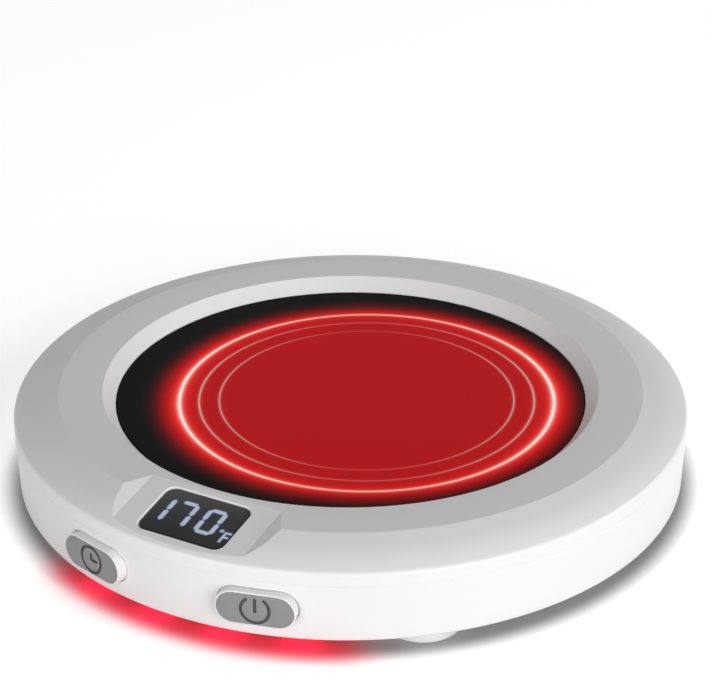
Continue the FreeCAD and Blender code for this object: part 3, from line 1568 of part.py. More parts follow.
def supply_inlet():
    """The gland in the rear wall and the bar that clamps the lead behind it."""
    body = new_body("cord_gland")
    bore, neck = size("lead_radius"), gland_neck()
    length = size("gland_length")
    outer_face = size("gland_flange")
    wall_room = lower_radius - wall - fit * 3 - gland_inner()
    section = Drawing(body, "gland_section", "XZ_Plane")
    section.outline([
        (bore, ZERO), (size("gland_inner_radius"), ZERO), (size("gland_inner_radius"), wall_room),
        (neck, wall_room), (neck, length - outer_face),
        (size("gland_flange_radius"), length - outer_face),
        (size("gland_flange_radius"), length), (bore, length),
    ])
    revolve(body, "gland_ring", section)
    place(body, (ZERO, gland_inner(), button_level), -X_AXIS, QUARTER)

    level, y = cord_bar_low(), cord_bar_place
    half = size("cord_post_spacing") / 2
    clamp = new_body("cord_clamp")
    plan = Drawing(clamp, "bar_plan", "XY_Plane", (ZERO, ZERO, level))
    long_half, wide_half = size("cord_bar_length") / 2, size("cord_bar_width") / 2
    plan.box(-long_half, long_half, y - wide_half, y + wide_half, wide_half * 0.8)
    for side in (-1, 1):
        plan.circle(half * side, y, size("small_shank_radius") + fit)
    thick = size("cord_bar_thickness")
    pad(clamp, "bar_plate", plan, thick)
    places = [(half * side, y, level + thick) for side in (-1, 1)]
    screws("cord_clamp_screws", places, size("small_head_radius"), size("small_head_height"),
           size("small_shank_radius"), size("cord_screw_length"), up=False)


casing_top()
casing_base()
heated_plate()
heater_pan()
heater_stack()
plate_sensor()
thermal_cutout()
screws("clamp_screws", clamp_screw_places(), size("small_head_radius"), size("small_head_height"),
       size("small_shank_radius"), size("clamp_screw_length"))
display_parts()
for button, way in (("power", 1), ("timer", -1)):
    button_cap(button, size("button_angle") * way)
    button_face(button, size("button_angle") * way)
    push_switch(button, size("button_angle") * way)
lit_strip()
electronics()
heater_wires()
sensor_wires()
display_wires()
switch_wires()
glow_wires()
feet()
casing_screws()
supply_inlet()
doc.recompute()

# Every named piece of the warmer, in the order in which it comes apart

NODES = [
    "top_shell", "base_shell", "heating_plate", "plate_seal", "heater_element", "insulation_pad",
    "heater_clamp", "heater_terminals", "clamp_screws", "temperature_sensor", "thermal_fuse",
    "fuse_clip", "display_window", "display_digits", "light_block", "display_board",
    "display_screws", "power_button", "power_button_face", "power_switch",
    "power_switch_plunger", "power_switch_board", "timer_button", "timer_button_face",
    "timer_switch", "timer_switch_plunger", "timer_switch_board", "glow_lens", "glow_board",
    "glow_lights", "control_board", "microcontroller", "capacitors", "triac", "connectors",
    "board_screws", "heater_leads", "sensor_leads", "display_leads", "switch_leads",
    "glow_leads", *FOOT_NAMES, "housing_screws", "cord_gland", "cord_clamp",
    "cord_clamp_screws",
]

for thing in doc.Objects:
    if "Invalid" in thing.State or "Error" in thing.State:
        raise RuntimeError(f"{thing.Label} failed: {thing.State}")

pieces = {}
for name in NODES:
    thing = doc.getObjectsByLabel(name)[0]
    shape = thing.Shape
    if shape.isNull() or not shape.isValid() or not shape.Solids:
        raise RuntimeError(f"{name} has no sound solid")
    pieces[name] = shape

os.makedirs("parts", exist_ok=True)
for name, shape in pieces.items():
    shape.exportStep(f"parts/{name}.step")
    print(f"{name}: {len(shape.Solids)} solid(s), {shape.Volume:.1f} mm3")
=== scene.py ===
# %% [markdown]
# # An electric mug warmer, dressed in Blender
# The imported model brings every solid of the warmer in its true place: casings, plate, buttons,
# display, boards and wires. This lesson remakes the outside with the fine edges that moulded and
# turned pieces have, gives every solid its finish, and lights it as in a plain studio.

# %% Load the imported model
import json
import math

import bmesh
import bpy
from mathutils import Matrix, Vector


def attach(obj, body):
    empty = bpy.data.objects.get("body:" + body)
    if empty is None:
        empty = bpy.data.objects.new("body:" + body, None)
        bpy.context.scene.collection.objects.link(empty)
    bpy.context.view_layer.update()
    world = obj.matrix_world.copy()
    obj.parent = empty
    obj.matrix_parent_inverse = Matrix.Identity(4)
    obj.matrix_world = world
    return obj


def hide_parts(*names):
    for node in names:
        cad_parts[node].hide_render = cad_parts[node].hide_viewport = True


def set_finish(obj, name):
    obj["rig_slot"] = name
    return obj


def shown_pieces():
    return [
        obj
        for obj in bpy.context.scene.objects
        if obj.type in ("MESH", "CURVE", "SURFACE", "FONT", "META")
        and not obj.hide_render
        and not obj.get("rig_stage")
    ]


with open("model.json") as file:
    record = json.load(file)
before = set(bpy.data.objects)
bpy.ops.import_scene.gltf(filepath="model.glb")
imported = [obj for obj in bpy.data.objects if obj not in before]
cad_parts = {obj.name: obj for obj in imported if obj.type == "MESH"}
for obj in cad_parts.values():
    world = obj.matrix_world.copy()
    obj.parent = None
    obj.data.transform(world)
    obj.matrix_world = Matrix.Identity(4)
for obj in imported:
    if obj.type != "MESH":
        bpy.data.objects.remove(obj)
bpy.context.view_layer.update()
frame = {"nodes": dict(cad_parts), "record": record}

MM = 0.001

# %% [markdown]
# ## Camera, floor and light
# The camera stands where the photograph was taken from: in front, to the right of the display,
# looking down by some 27 degrees through a long lens. A camera can be placed by eye against the
# picture, but here its place, direction and slight roll were measured from the casing's and the
# plate's ellipses, so they are written as numbers.

# %% Camera
CAMERA_PLACE = Vector((0.19322, -0.34433, 0.22607))
VIEW_DIRECTION = Vector((-0.434244, 0.778865, -0.452549))
CAMERA_ROLL = math.radians(0.255)
camera_data = bpy.data.cameras.new("studio_camera")
camera_data.sensor_width = 36
camera_data.lens = 116.24
camera = bpy.data.objects.new("studio_camera", camera_data)
bpy.context.scene.collection.objects.link(camera)
camera.location = CAMERA_PLACE
turn = VIEW_DIRECTION.to_track_quat("-Z", "Y").to_matrix()
camera.rotation_euler = (turn @ Matrix.Rotation(-CAMERA_ROLL, 3, "Z")).to_euler()
bpy.context.scene.camera = camera
bpy.context.scene.view_settings.view_transform = "Standard"
print("camera at", tuple(camera.location), "lens", camera_data.lens)

# %% [markdown]
# ## Shader maths
# A finish is a small graph of nodes. Written out by hand, every sum is a node and two links. A
# small class that wraps a socket lets sums be written as sums: each operator adds its Math node.
# A second class holds one material and makes any other node from its kind, settings and inputs.

# %% A socket that takes part in sums
class Value:
    """A socket that takes part in sums."""

    def __init__(self, finish, socket):
        self.finish, self.socket = finish, socket

    def math(self, operation, *others):
        terms = dict(enumerate((self, *others)))
        return self.finish.node("Math", {"operation": operation}, terms)

    def __add__(self, other): return self.math("ADD", other)
    def __sub__(self, other): return self.math("SUBTRACT", other)
    def __mul__(self, other): return self.math("MULTIPLY", other)
    def __truediv__(self, other): return self.math("DIVIDE", other)
    def __rsub__(self, other): return (self * -1) + other
    def __rtruediv__(self, other): return self.math("POWER", -1) * other
    def __pow__(self, power): return self.math("POWER", power)
    __radd__, __rmul__ = __add__, __mul__


print("a socket can be added, subtracted, multiplied, divided and raised to a power")


# %% A material and its nodes
class Finish:
    """A material with one Principled shader, and a method for any other node."""

    def __init__(self, name, **constants):
        self.material = bpy.data.materials.new(name)
        self.material.use_nodes = True
        self.tree = self.material.node_tree
        self.shader = self.tree.nodes["Principled BSDF"]
        for socket, value in constants.items():
            self.shader.inputs[socket.replace("_", " ")].default_value = value

    def node(self, kind, settings=None, inputs=None, output=0):
        """Any node: its settings come first, then the values or links of its inputs."""
        node = self.tree.nodes.new("ShaderNode" + kind)
        for key, value in (settings or {}).items():
            setattr(node, key, value)
        for key, value in (inputs or {}).items():
            if isinstance(value, Value):
                self.tree.links.new(value.socket, node.inputs[key])
            else:
                node.inputs[key].default_value = value
        return Value(self, node.outputs[output])

    def feed(self, socket, value):
        """Links a value to one of the shader's sockets."""
        self.tree.links.new(value.socket, self.shader.inputs[socket])

    def place(self):
        """The point on the piece, in millimetres."""
        point = self.node("TexCoord", output="Object")
        return self.node("VectorMath", {"operation": "SCALE"}, {0: point, "Scale": 1 / MM})

    def axes(self):
        """The point's place across (x) and away from the display's side (y)."""
        point = self.place()
        return [self.node("SeparateXYZ", None, {0: point}, output=axis) for axis in ("X", "Y")]

    def noise(self, size_mm, detail=3.0, stretch=(1, 1, 1)):
        """Noise whose grains are about that many millimetres, from 0 to 1."""
        point = self.node("Mapping", None, {"Vector": self.place(), "Scale": stretch})
        inputs = {"Vector": point, "Scale": 1 / size_mm, "Detail": detail}
        return self.node("TexNoise", None, inputs)

    def blend(self, mask, first, second):
        """The first colour where the mask is 0, the second where it is 1."""
        settings = {"data_type": "RGBA"}
        colours = [c if isinstance(c, Value) else (*c, 1) for c in (first, second)]
        return self.node("Mix", settings, {0: mask, 6: colours[0], 7: colours[1]}, output=2)

    def bump(self, height, depth_mm, strength=1.0):
        """Turns a height from 0 to 1 into relief of that depth."""
        inputs = {"Height": height, "Distance": depth_mm * MM, "Strength": strength}
        self.feed("Normal", self.node("Bump", None, inputs))


print("a finish is one material with one shader")


# %% Values held, and values near a place
def clamp(value, low=0.0, high=1.0):
    """The value, held between low and high."""
    return value.finish.node("Clamp", None, {0: value, "Min": low, "Max": high})


def near(value, middle, width):
    """1 where the value is at the middle, falling smoothly to 0 within a few widths."""
    distance = (value - middle) / width
    return 1 / (1 + distance * distance) ** 2


print("masks can be made with clamp and near")

# %% [markdown]
# Most of the warmer is moulded plastic or rubber. Such a surface is never quite even: the mould
# leaves a fine grain, and the gloss changes in faint clouds. One function makes that finish from
# two sizes of noise, and each material gives it a colour, a gloss and a depth of grain.

# %% A grained finish
CLOUD_SIZE = 14


def grained(name, colour, roughness, grain=0.35, relief=0.012, shade=0.12, **constants):
    """A moulded surface: grain in the relief, clouds in the colour and the gloss."""
    finish = Finish(name, **constants)
    patches = finish.noise(CLOUD_SIZE, 4)
    fine = finish.noise(grain, 2)
    dark = tuple(c * (1 - shade) for c in colour)
    finish.feed("Base Color", finish.blend(patches * 0.6 + fine * 0.4, dark, colour))
    finish.feed("Roughness", clamp(patches * 0.12 + fine * 0.08 + (roughness - 0.1), 0.03, 1))
    finish.bump(fine, relief)
    return finish


print("the grained finish is ready")

# %% [markdown]
# The floor is a wide white sheet that the camera sees a little brighter than it is, so it goes
# white while the warmer's shadow stays on it. The strip of red lights under the front edge
# would throw its glow on the floor; here that pool of red light is painted into the floor's
# colour where it would fall: four spots with darker gaps, by the angle round the warmer, fading
# with the distance from its middle.

# %% Floor sheet
def nothing_selected():
    """Leaves edit mode and drops the selection, because an operator acts on all of it."""
    if bpy.context.mode != "OBJECT":
        bpy.ops.object.mode_set(mode="OBJECT")
    bpy.ops.object.select_all(action="DESELECT")


nothing_selected()
bpy.ops.mesh.primitive_plane_add(size=6.0, location=(0, 0, 0))
floor = bpy.context.object
floor.name = "studio_floor"
floor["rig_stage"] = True
print("floor sheet:", tuple(floor.dimensions))


# %% Where the painted red light falls
def polar(finish, middle_x=0.0, middle_y=0.0):
    """The distance from a middle, and the angle round it from the display's side."""
    x, y = finish.axes()
    if middle_x or middle_y:
        x, y = x - middle_x, y - middle_y
    reach = (x * x + y * y) ** 0.5
    return reach, finish.node("Math", {"operation": "ARCTAN2"}, {0: x, 1: y * -1})


GLOW_MIDDLE, GLOW_STEP, GLOW_SPOT = math.radians(2.0), math.radians(12.8), 0.085
GLOW_END, GLOW_START_R, GLOW_FADE = math.radians(29.0), 60.0, 7.6
ground = Finish("studio_white", Roughness=0.9, Specular_IOR_Level=0.0, Emission_Strength=1.0)
reach, angle = polar(ground)
angle = angle - GLOW_MIDDLE
spots = near(angle, -1.5 * GLOW_STEP, GLOW_SPOT)
for steps_off in (-0.5, 0.5, 1.5):
    spots = spots + near(angle, steps_off * GLOW_STEP, GLOW_SPOT)
spots = clamp(spots)
ends = 1 / (1 + ((angle * (1 / GLOW_END)) ** 2) ** 8)
painted_glow_pool = ends / (1 + ((reach - GLOW_START_R) * (1 / GLOW_FADE)) ** 6)
gaps = (1 - spots) * near(reach, 60.5, 6.0)
# Painted light: the strip's red glow on the floor is painted into the floor's colour, not thrown
# by a lamp.
red = ground.blend(clamp(gaps * 1.4), (0.95, 0.045, 0.105), (0.36, 0.04, 0.05))
print("four red spots, each", round(math.degrees(GLOW_STEP), 1), "degrees from the next")

# %% [markdown]
# Where the warmer nearly touches the floor, little light gets in, and a soft dark edge shows all
# round it. A lamp could throw that shadow, but these lamps are low and soft, so the floor's own
# colour is darker there. From below the floor is clear, so that the underside can be looked at,
# and its hidden middle gives back some light, as a white table does.

# %% Contact shadow and the floor from below
SHADE_END, SHADE_WIDTH = 69.9, 6.4
shade = clamp((SHADE_END - reach) * (1 / SHADE_WIDTH))
shade = shade * shade * (3 - shade * 2)
white = ground.blend(shade, (0.86,) * 3, (0.31,) * 3)
# Painted light: the floor's colour and emission carry the painted red glow.
ground.feed("Base Color", ground.blend(painted_glow_pool, white, red))
seen = ground.node("LightPath", output="Is Camera Ray")
seen = seen.math("MAXIMUM", ground.node("LightPath", output="Is Glossy Ray"))
pale = ground.blend(shade, (0.62,) * 3, (0.08,) * 3)
dim_red = ground.node("VectorMath", {"operation": "SCALE"}, {0: red, "Scale": 0.5})
hidden = clamp((57 - reach) * 0.25)
bounce = ground.blend(hidden, (0, 0, 0), (0.45, 0.45, 0.45))
ground.feed("Emission Color", ground.blend(seen, bounce, ground.blend(painted_glow_pool, pale, dim_red)))
below = ground.node("NewGeometry", output="Backfacing")
clear = ground.node("BsdfTransparent")
above = Value(ground, ground.shader.outputs[0])
surface = ground.node("MixShader", None, {0: below, 1: above, 2: clear})
ground.tree.links.new(surface.socket, ground.tree.nodes["Material Output"].inputs["Surface"])
floor.data.materials.append(ground.material)
print("floor finish:", len(ground.tree.nodes), "nodes")

# %% [markdown]
# The air round the warmer is white for the camera and for reflections, and much dimmer as a
# light, so that the shape is drawn by the lamps. In the photograph the side wall is brighter than
# the top, and the front and right are brighter than the left: so three large soft lamps stand
# low in front and to the right, and a weak one high at the back.

# %% World
world = bpy.data.worlds.new("studio_air")
bpy.context.scene.world = world
world.use_nodes = True
tree = world.node_tree
background = tree.nodes["Background"]
path = tree.nodes.new("ShaderNodeLightPath")
colour = tree.nodes.new("ShaderNodeMix")
colour.data_type = "RGBA"
colour.inputs[6].default_value = (0.13, 0.13, 0.131, 1)
colour.inputs[7].default_value = (1, 1, 1, 1)
white_for = path.outputs["Is Camera Ray"]
for ray in ("Is Transmission Ray", "Is Glossy Ray"):
    most = tree.nodes.new("ShaderNodeMath")
    most.operation = "MAXIMUM"
    tree.links.new(white_for, most.inputs[0])
    tree.links.new(path.outputs[ray], most.inputs[1])
    white_for = most.outputs[0]
tree.links.new(white_for, colour.inputs[0])
tree.links.new(colour.outputs[2], background.inputs["Color"])
print("world light:", round(colour.inputs[6].default_value[0], 2))


# %% Lamps
def lamp(name, azimuth, elevation, distance, size, power):
    """A square soft light that looks at the warmer; azimuth 0 is in front of the display."""
    data = bpy.data.lights.new(name, "AREA")
    data.shape, data.size, data.energy = "SQUARE", size, power
    light = bpy.data.objects.new(name, data)
    bpy.context.scene.collection.objects.link(light)
    a, e = math.radians(azimuth), math.radians(elevation)
    away = Vector((math.sin(a) * math.cos(e), -math.cos(a) * math.cos(e), math.sin(e)))
    light.location = away * distance
    light.rotation_euler = (-away).to_track_quat("-Z", "Y").to_euler()
    print(name, "at", tuple(round(v, 2) for v in light.location))


lamp("key_light", 60, 16, 1.2, 0.7, 8.6)
lamp("side_light", 124, 17, 1.2, 0.6, 5.4)
lamp("front_light", -6, 9, 1.3, 0.8, 10.0)
lamp("top_light", 200, 70, 1.4, 1.0, 1.0)

# %% [markdown]
# ## Turned pieces
# The casings, the plate, the feet and the gland are round. They could be made from a profile and
# a Screw modifier, or spun. Here each is made as on a lathe: a circle is added at the first point
# of the outline, and its edge is extruded and resized from point to point of the profile, which
# keeps every ring even. Small arcs at the corners give the rounded edges that catch light.

# %% Rounded corners for a profile
def rounded(profile, steps=5):
    """The profile's points, with an arc in place of each corner that has a radius."""
    points = []
    for index, (r, z, *radius) in enumerate(profile):
        if not radius:
            points.append((r, z))
            continue
        corner = Vector((r, z))
        before = Vector(profile[index - 1][:2]) - corner
        after = Vector(profile[(index + 1) % len(profile)][:2]) - corner
        half = before.angle(after) / 2
        back = min(radius[0] / math.tan(half), before.length * 0.49, after.length * 0.49)
        size = back * math.tan(half)
        first, last = corner + before.normalized() * back, corner + after.normalized() * back
        inward = (before.normalized() + after.normalized()).normalized()
        middle = corner + inward * size / math.sin(half)
        for step in range(steps + 1):
            share = step / steps
            away = (first - middle).lerp(last - middle, share).normalized() * size
            points.append(tuple(middle + away))
    return points


print("a square corner becomes", len(rounded([(0, 0), (1, 0, 0.2), (1, 1)])) - 2, "points")


# %% A piece that rides, stands for a solid and has a slot
SLOT_OF = {row["node"]: row["material_slot"] for row in frame["record"]["subparts"]}


def finish_piece(piece, body, node, smooth=6.0):
    """Smooths a piece, says which body it rides on and which solid it stands for."""
    nothing_selected()
    piece.select_set(True)
    bpy.context.view_layer.objects.active = piece
    bpy.ops.object.transform_apply(location=True, rotation=True, scale=True)
    bpy.ops.object.shade_smooth_by_angle(angle=math.radians(smooth))
    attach(piece, body)
    if node:
        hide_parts(node)
        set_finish(piece, SLOT_OF[node])
    print(piece.name, "faces:", len(piece.data.polygons))


# %% A lathe made of extrusions
TINY = 1e-3


def turned(name, profile, body, node, segments=256, closed=True):
    """Extrudes a circle along a profile of (radius, height) in millimetres."""
    points = rounded(profile)
    nothing_selected()
    r, z = points[0]
    bpy.ops.mesh.primitive_circle_add(vertices=segments, radius=max(r, TINY) * MM,
                                      location=(0, 0, z * MM))
    piece = bpy.context.object
    piece.name = name
    bpy.ops.object.transform_apply(location=True)
    bpy.ops.object.mode_set(mode="EDIT")
    for new_r, new_z in points[1:] + ([points[0]] if closed else []):
        bpy.ops.mesh.extrude_region_move()
        grow = max(new_r, TINY) / max(r, TINY)
        bpy.ops.transform.resize(value=(grow, grow, 1), center_override=(0, 0, 0))
        bpy.ops.transform.translate(value=(0, 0, (new_z - z) * MM))
        r, z = new_r, new_z
    bpy.ops.mesh.select_all(action="SELECT")
    bpy.ops.mesh.remove_doubles(threshold=3e-6)
    bpy.ops.mesh.normals_make_consistent(inside=False)
    bpy.ops.object.mode_set(mode="OBJECT")
    if body:
        finish_piece(piece, body, node)
    return piece


print("lathe ready")

# %% [markdown]
# The upper casing is one white moulding. Its outline runs from the lip over the seal, up the
# chamfer round the plate, along the flat middle band, down the slightly domed outer band and
# round the rim to the seam. The dome and the rim are two arcs that meet without a step, so they
# are worked out from their radii and not drawn by eye.

# %% The domed band and the rim
RIM, CREASE, BAND_INNER, OPENING = 65.0, 56.34, 47.9, 45.5
BAND_TOP, PLATE_TOP, SEAM = 19.05, 16.45, 13.5


def dome(steps=14):
    """Points of the outer band's curved part and of the rim's rounding, from the inside out."""
    slope, curve, rim, straight = math.radians(13.7), 23.4, 1.0, 2.66
    start_r, start_z = CREASE + straight, BAND_TOP - straight * math.tan(slope)
    centre_r, centre_z = start_r - curve * math.sin(slope), start_z - curve * math.cos(slope)
    rim_r = RIM - rim
    rim_z = centre_z + math.sqrt((curve - rim) ** 2 - (rim_r - centre_r) ** 2)
    touch = math.atan2(rim_r - centre_r, rim_z - centre_z)
    points = []
    for step in range(steps + 1):
        a = slope + (touch - slope) * step / steps
        points.append((centre_r + curve * math.sin(a), centre_z + curve * math.cos(a)))
    for step in range(1, steps + 1):
        a = touch + (math.pi / 2 - touch) * step / steps
        points.append((rim_r + rim * math.sin(a), rim_z + rim * math.cos(a)))
    return points


print("dome and rim:", len(dome()), "points")

# %% Upper casing
outside = [
    (OPENING, 15.75), (OPENING, PLATE_TOP, 0.12), (BAND_INNER, BAND_TOP, 0.12),
    (CREASE, BAND_TOP), *dome(), (RIM, SEAM, 0.12),
]
inside = [
    (64.0, SEAM), (64.0, 14.8), (63.0, 14.8), (59.0, 16.4), (CREASE, 17.05),
    (49.5, 17.05), (49.5, 14.05), (48.3, 14.05), (48.3, 15.75),
]
top = turned("casing_top", outside + inside, "housing", "top_shell")

# %% [markdown]
# The display lies in a shallow cut whose floor slopes down outwards between two facets. Moving
# the ring's own vertices would spoil its even curve, so a block is shaped to the cut's form in
# edit mode and taken away from the casing with a Boolean. A second block makes the window's
# opening, and a third, flared at its top, leaves a fine bright chamfer round it.

# %% Cutting with a tool
def take_away(piece, tool):
    """Cuts the tool's shape out of the piece and throws the tool away."""
    nothing_selected()
    bpy.context.view_layer.objects.active = piece
    piece.select_set(True)
    cut = piece.modifiers.new("cut", "BOOLEAN")
    cut.operation, cut.solver, cut.object = "DIFFERENCE", "EXACT", tool
    bpy.ops.object.modifier_apply(modifier=cut.name)
    bpy.data.objects.remove(tool)


print("a tool is used once")


# %% Choosing vertices by their place
def edit_only(piece, chosen):
    """Enters edit mode with just the vertices that the test chooses."""
    nothing_selected()
    bpy.context.view_layer.objects.active = piece
    piece.select_set(True)
    bpy.ops.object.mode_set(mode="EDIT")
    bpy.ops.mesh.select_mode(type="VERT")
    bpy.ops.mesh.select_all(action="DESELECT")
    mesh = bmesh.from_edit_mesh(piece.data)
    for vertex in mesh.verts:
        vertex.select_set(chosen(vertex.co))
    mesh.select_flush_mode()
    bmesh.update_edit_mesh(piece.data)


print("vertices are chosen by a test of their place")


# %% A block with rounded corners
def slab(name, left, right, low, high, bottom, top, corner=0.0, flare=0.0, steps=8):
    """A block in millimetres; rounded at its corners, and wider at its top by the flare."""
    nothing_selected()
    bpy.ops.mesh.primitive_cube_add(size=1.0)
    block = bpy.context.object
    block.name = name
    block.scale = ((right - left) * MM, (high - low) * MM, (top - bottom) * MM)
    block.location = ((left + right) / 2 * MM, (low + high) / 2 * MM, (bottom + top) / 2 * MM)
    bpy.ops.object.transform_apply(location=True, rotation=False, scale=True)
    if corner:
        bpy.ops.object.mode_set(mode="EDIT")
        bpy.ops.mesh.select_mode(type="EDGE")
        bpy.ops.mesh.select_all(action="DESELECT")
        mesh = bmesh.from_edit_mesh(block.data)
        for edge in mesh.edges:
            a, b = edge.verts
            edge.select_set(abs(a.co.z - b.co.z) > (top - bottom) * MM * 0.5)
        bmesh.update_edit_mesh(block.data)
        bpy.ops.mesh.bevel(offset=corner * MM, segments=steps)
        bpy.ops.mesh.select_all(action="SELECT")
        bpy.ops.mesh.remove_doubles(threshold=2e-6)
        bpy.ops.object.mode_set(mode="OBJECT")
    if flare:
        edit_only(block, lambda co: co.z > (top + bottom) / 2 * MM)
        sizes = ((right - left), (high - low))
        centre = ((left + right) / 2 * MM, (low + high) / 2 * MM, top * MM)
        grow = [(s + 2 * flare) / s for s in sizes]
        bpy.ops.transform.resize(value=(*grow, 1), center_override=centre)
        bpy.ops.object.mode_set(mode="OBJECT")
    return block


print("blocks are ready")

# %% Cut for the display
STRIP_START, STRIP_SLOPE = 48.8, math.radians(9.3)
STRIP_HALF, FACET, WEDGE_HIGH = 13.45, math.radians(15.8), 6.0
strip = Matrix.Translation((0, -STRIP_START * MM, BAND_TOP * MM))
strip = strip @ Matrix.Rotation(STRIP_SLOPE, 4, "X")
wedge = slab("cut_block", -STRIP_HALF, STRIP_HALF, -20, 0, 0, WEDGE_HIGH)
edit_only(wedge, lambda co: co.z > WEDGE_HIGH / 2 * MM)
spread = (STRIP_HALF + WEDGE_HIGH / math.tan(FACET)) / STRIP_HALF
bpy.ops.transform.resize(value=(spread, 1, 1), center_override=(0, 0, 0))
bpy.ops.object.mode_set(mode="OBJECT")
wedge.data.transform(strip)
take_away(top, wedge)
print("cut is", 2 * STRIP_HALF, "mm wide at its floor")

# %% Opening for the window
WINDOW_HALF, WINDOW_LOW, WINDOW_HIGH = 8.7, -13.45, -1.45
RIM_INSET, RIM_CORNER = 0.3, 1.75
opening = slab("opening_block", -WINDOW_HALF, WINDOW_HALF, WINDOW_LOW, WINDOW_HIGH, -6, 4, 2.0)
opening.data.transform(strip)
take_away(top, opening)
rim_half = WINDOW_HALF - RIM_INSET
rim_low, rim_high = WINDOW_LOW + RIM_INSET, WINDOW_HIGH - RIM_INSET
rim_block = slab("rim_block", -rim_half, rim_half, rim_low, rim_high, -0.62, 0.4, RIM_CORNER, 1.0)
rim_block.data.transform(strip)
take_away(top, rim_block)
finish_piece(top, "housing", None)

# %% [markdown]
# The lower casing is a tray: floor, rounded lower edge and a side wall that leans out by a hair,
# so that it leaves its mould. It is turned as one profile, and its openings are cut with tools:
# two flat ovals for the buttons, a round one for the gland, seats for the feet, air slots and
# the arc for the lit strip.

# %% Lower casing
LOW, WALL_LOW = 2.2, 64.6
tray = [
    (0.0, LOW), (WALL_LOW, LOW, 0.5), (RIM, SEAM, 0.12), (63.9, SEAM), (63.9, 14.7),
    (63.0, 14.7), (62.6, 4.2), (0.0, 4.2),
]
base = turned("casing_base", tray, "housing", "base_shell", closed=False)

# %% Openings for the buttons
BUTTON_LEVEL, BUTTON_TURN = 8.5, math.radians(14.8)
BUTTON_W, BUTTON_H, BUTTON_FRONT, BUTTON_PLAY = 14.6, 6.7, 66.4, 0.3
CUT_BACK, CUT_FRONT = 58, 70


def upright(angle):
    """From a flat drawing facing up to the casing's side at an angle from the display."""
    stand = Matrix.Rotation(math.radians(90), 4, "X")
    return Matrix.Rotation(angle, 4, "Z") @ Matrix.Translation((0, 0, BUTTON_LEVEL * MM)) @ stand


def oval(name, width, height, bottom, top):
    """A flat oval block, lying flat: its ends are half circles."""
    half_w, half_h = width / 2, height / 2
    return slab(name, -half_w, half_w, -half_h, half_h, bottom, top, half_h * 0.9999, steps=16)


opening_w, opening_h = BUTTON_W + BUTTON_PLAY, BUTTON_H + BUTTON_PLAY
for side in (1, -1):
    tool = oval("button_opening", opening_w, opening_h, CUT_BACK, CUT_FRONT)
    tool.data.transform(upright(BUTTON_TURN * side))
    take_away(base, tool)
print("two button openings,", opening_w, "mm wide")


# %% Opening for the gland
def round_rod(name, radius, bottom, top, place=(0, 0)):
    """An upright rod in millimetres."""
    nothing_selected()
    middle = (place[0] * MM, place[1] * MM, (top + bottom) / 2 * MM)
    bpy.ops.mesh.primitive_cylinder_add(vertices=64, radius=radius * MM,
                                        depth=(top - bottom) * MM, location=middle)
    rod = bpy.context.object
    rod.name = name
    bpy.ops.object.transform_apply(location=True)
    return rod


GLAND_HOLE = 3.65
tool = round_rod("gland_opening", GLAND_HOLE, 55, CUT_FRONT)
tool.data.transform(upright(math.pi))
take_away(base, tool)
print("gland opening:", 2 * GLAND_HOLE, "mm across")


# %% Seats for the feet
def round_axis(reach, angle):
    """The place at a distance from the middle and an angle from the display's side."""
    return reach * math.sin(angle), -reach * math.cos(angle)


FOOT_REACH, FOOT_FIRST, FOOT_COUNT = 56.6, math.radians(42), 3
FOOT_SEAT, FOOT_TOP, SCREW_HOLE = 7.2, 2.8, 2.9
foot_turns = [FOOT_FIRST + index * math.tau / FOOT_COUNT for index in range(FOOT_COUNT)]
foot_places = [round_axis(FOOT_REACH, foot_turn) for foot_turn in foot_turns]
for place in foot_places:
    take_away(base, round_rod("foot_seat", FOOT_SEAT, 1, FOOT_TOP, place))
    take_away(base, round_rod("screw_hole", SCREW_HOLE, 2, 6, place))
print("feet at", [tuple(round(v, 1) for v in place) for place in foot_places])

# %% Air slots
SLOT_COUNT, SLOT_START, SLOT_END, SLOT_HALF = 12, 21, 33, 1
for index in range(SLOT_COUNT):
    slot = slab("air_slot", SLOT_START, SLOT_END, -SLOT_HALF, SLOT_HALF, 1, 6, 0.999, steps=6)
    slot.data.transform(Matrix.Rotation(index * math.tau / SLOT_COUNT, 4, "Z"))
    take_away(base, slot)
print("air slots:", SLOT_COUNT)


# %% Slot for the lit strip
def arc_piece(name, inner, outer, bottom, top, middle, half, steps=64):
    """A strip that follows the casing's edge: a rectangle spun round the axis."""
    nothing_selected()
    start = middle - half
    bpy.ops.mesh.primitive_plane_add(size=1.0)
    piece = bpy.context.object
    piece.name = name
    piece.scale = ((outer - inner) * MM, (top - bottom) * MM, 1)
    bpy.ops.object.transform_apply(scale=True)
    middle_r, middle_z = (outer + inner) / 2 * MM, (top + bottom) / 2 * MM
    place = Matrix.Translation((middle_r, 0, middle_z)) @ Matrix.Rotation(math.pi / 2, 4, "X")
    piece.data.transform(Matrix.Rotation(start - math.pi / 2, 4, "Z") @ place)
    bpy.ops.object.mode_set(mode="EDIT")
    bpy.ops.mesh.select_all(action="SELECT")
    bpy.ops.mesh.spin(steps=steps, angle=-2 * half, center=(0, 0, 0), axis=(0, 0, 1))
    bpy.ops.mesh.select_all(action="SELECT")
    bpy.ops.mesh.remove_doubles(threshold=1e-6)
    bpy.ops.mesh.normals_make_consistent(inside=False)
    bpy.ops.object.mode_set(mode="OBJECT")
    return piece


GLOW_IN, GLOW_OUT, GLOW_HALF, GLOW_PLAY = 60.1, 62.1, math.radians(28.5), 0.1
glow_slot = arc_piece("glow_slot", GLOW_IN - GLOW_PLAY, GLOW_OUT + GLOW_PLAY, 1.0, 6.0,
                      GLOW_MIDDLE, GLOW_HALF + 0.002)
take_away(base, glow_slot)
finish_piece(base, "housing", None)

# %% [markdown]
# ## The heated plate, the feet and the gland
# The plate is a stepped disc whose flange is held under the casing's lip. The feet are soft pads
# with rounded lower edges. The gland is the ring that would guard a supply lead against the
# casing's edge, with a bell mouth at both ends. All are turned from their profiles, and the
# gland is then laid down to point out at the back.

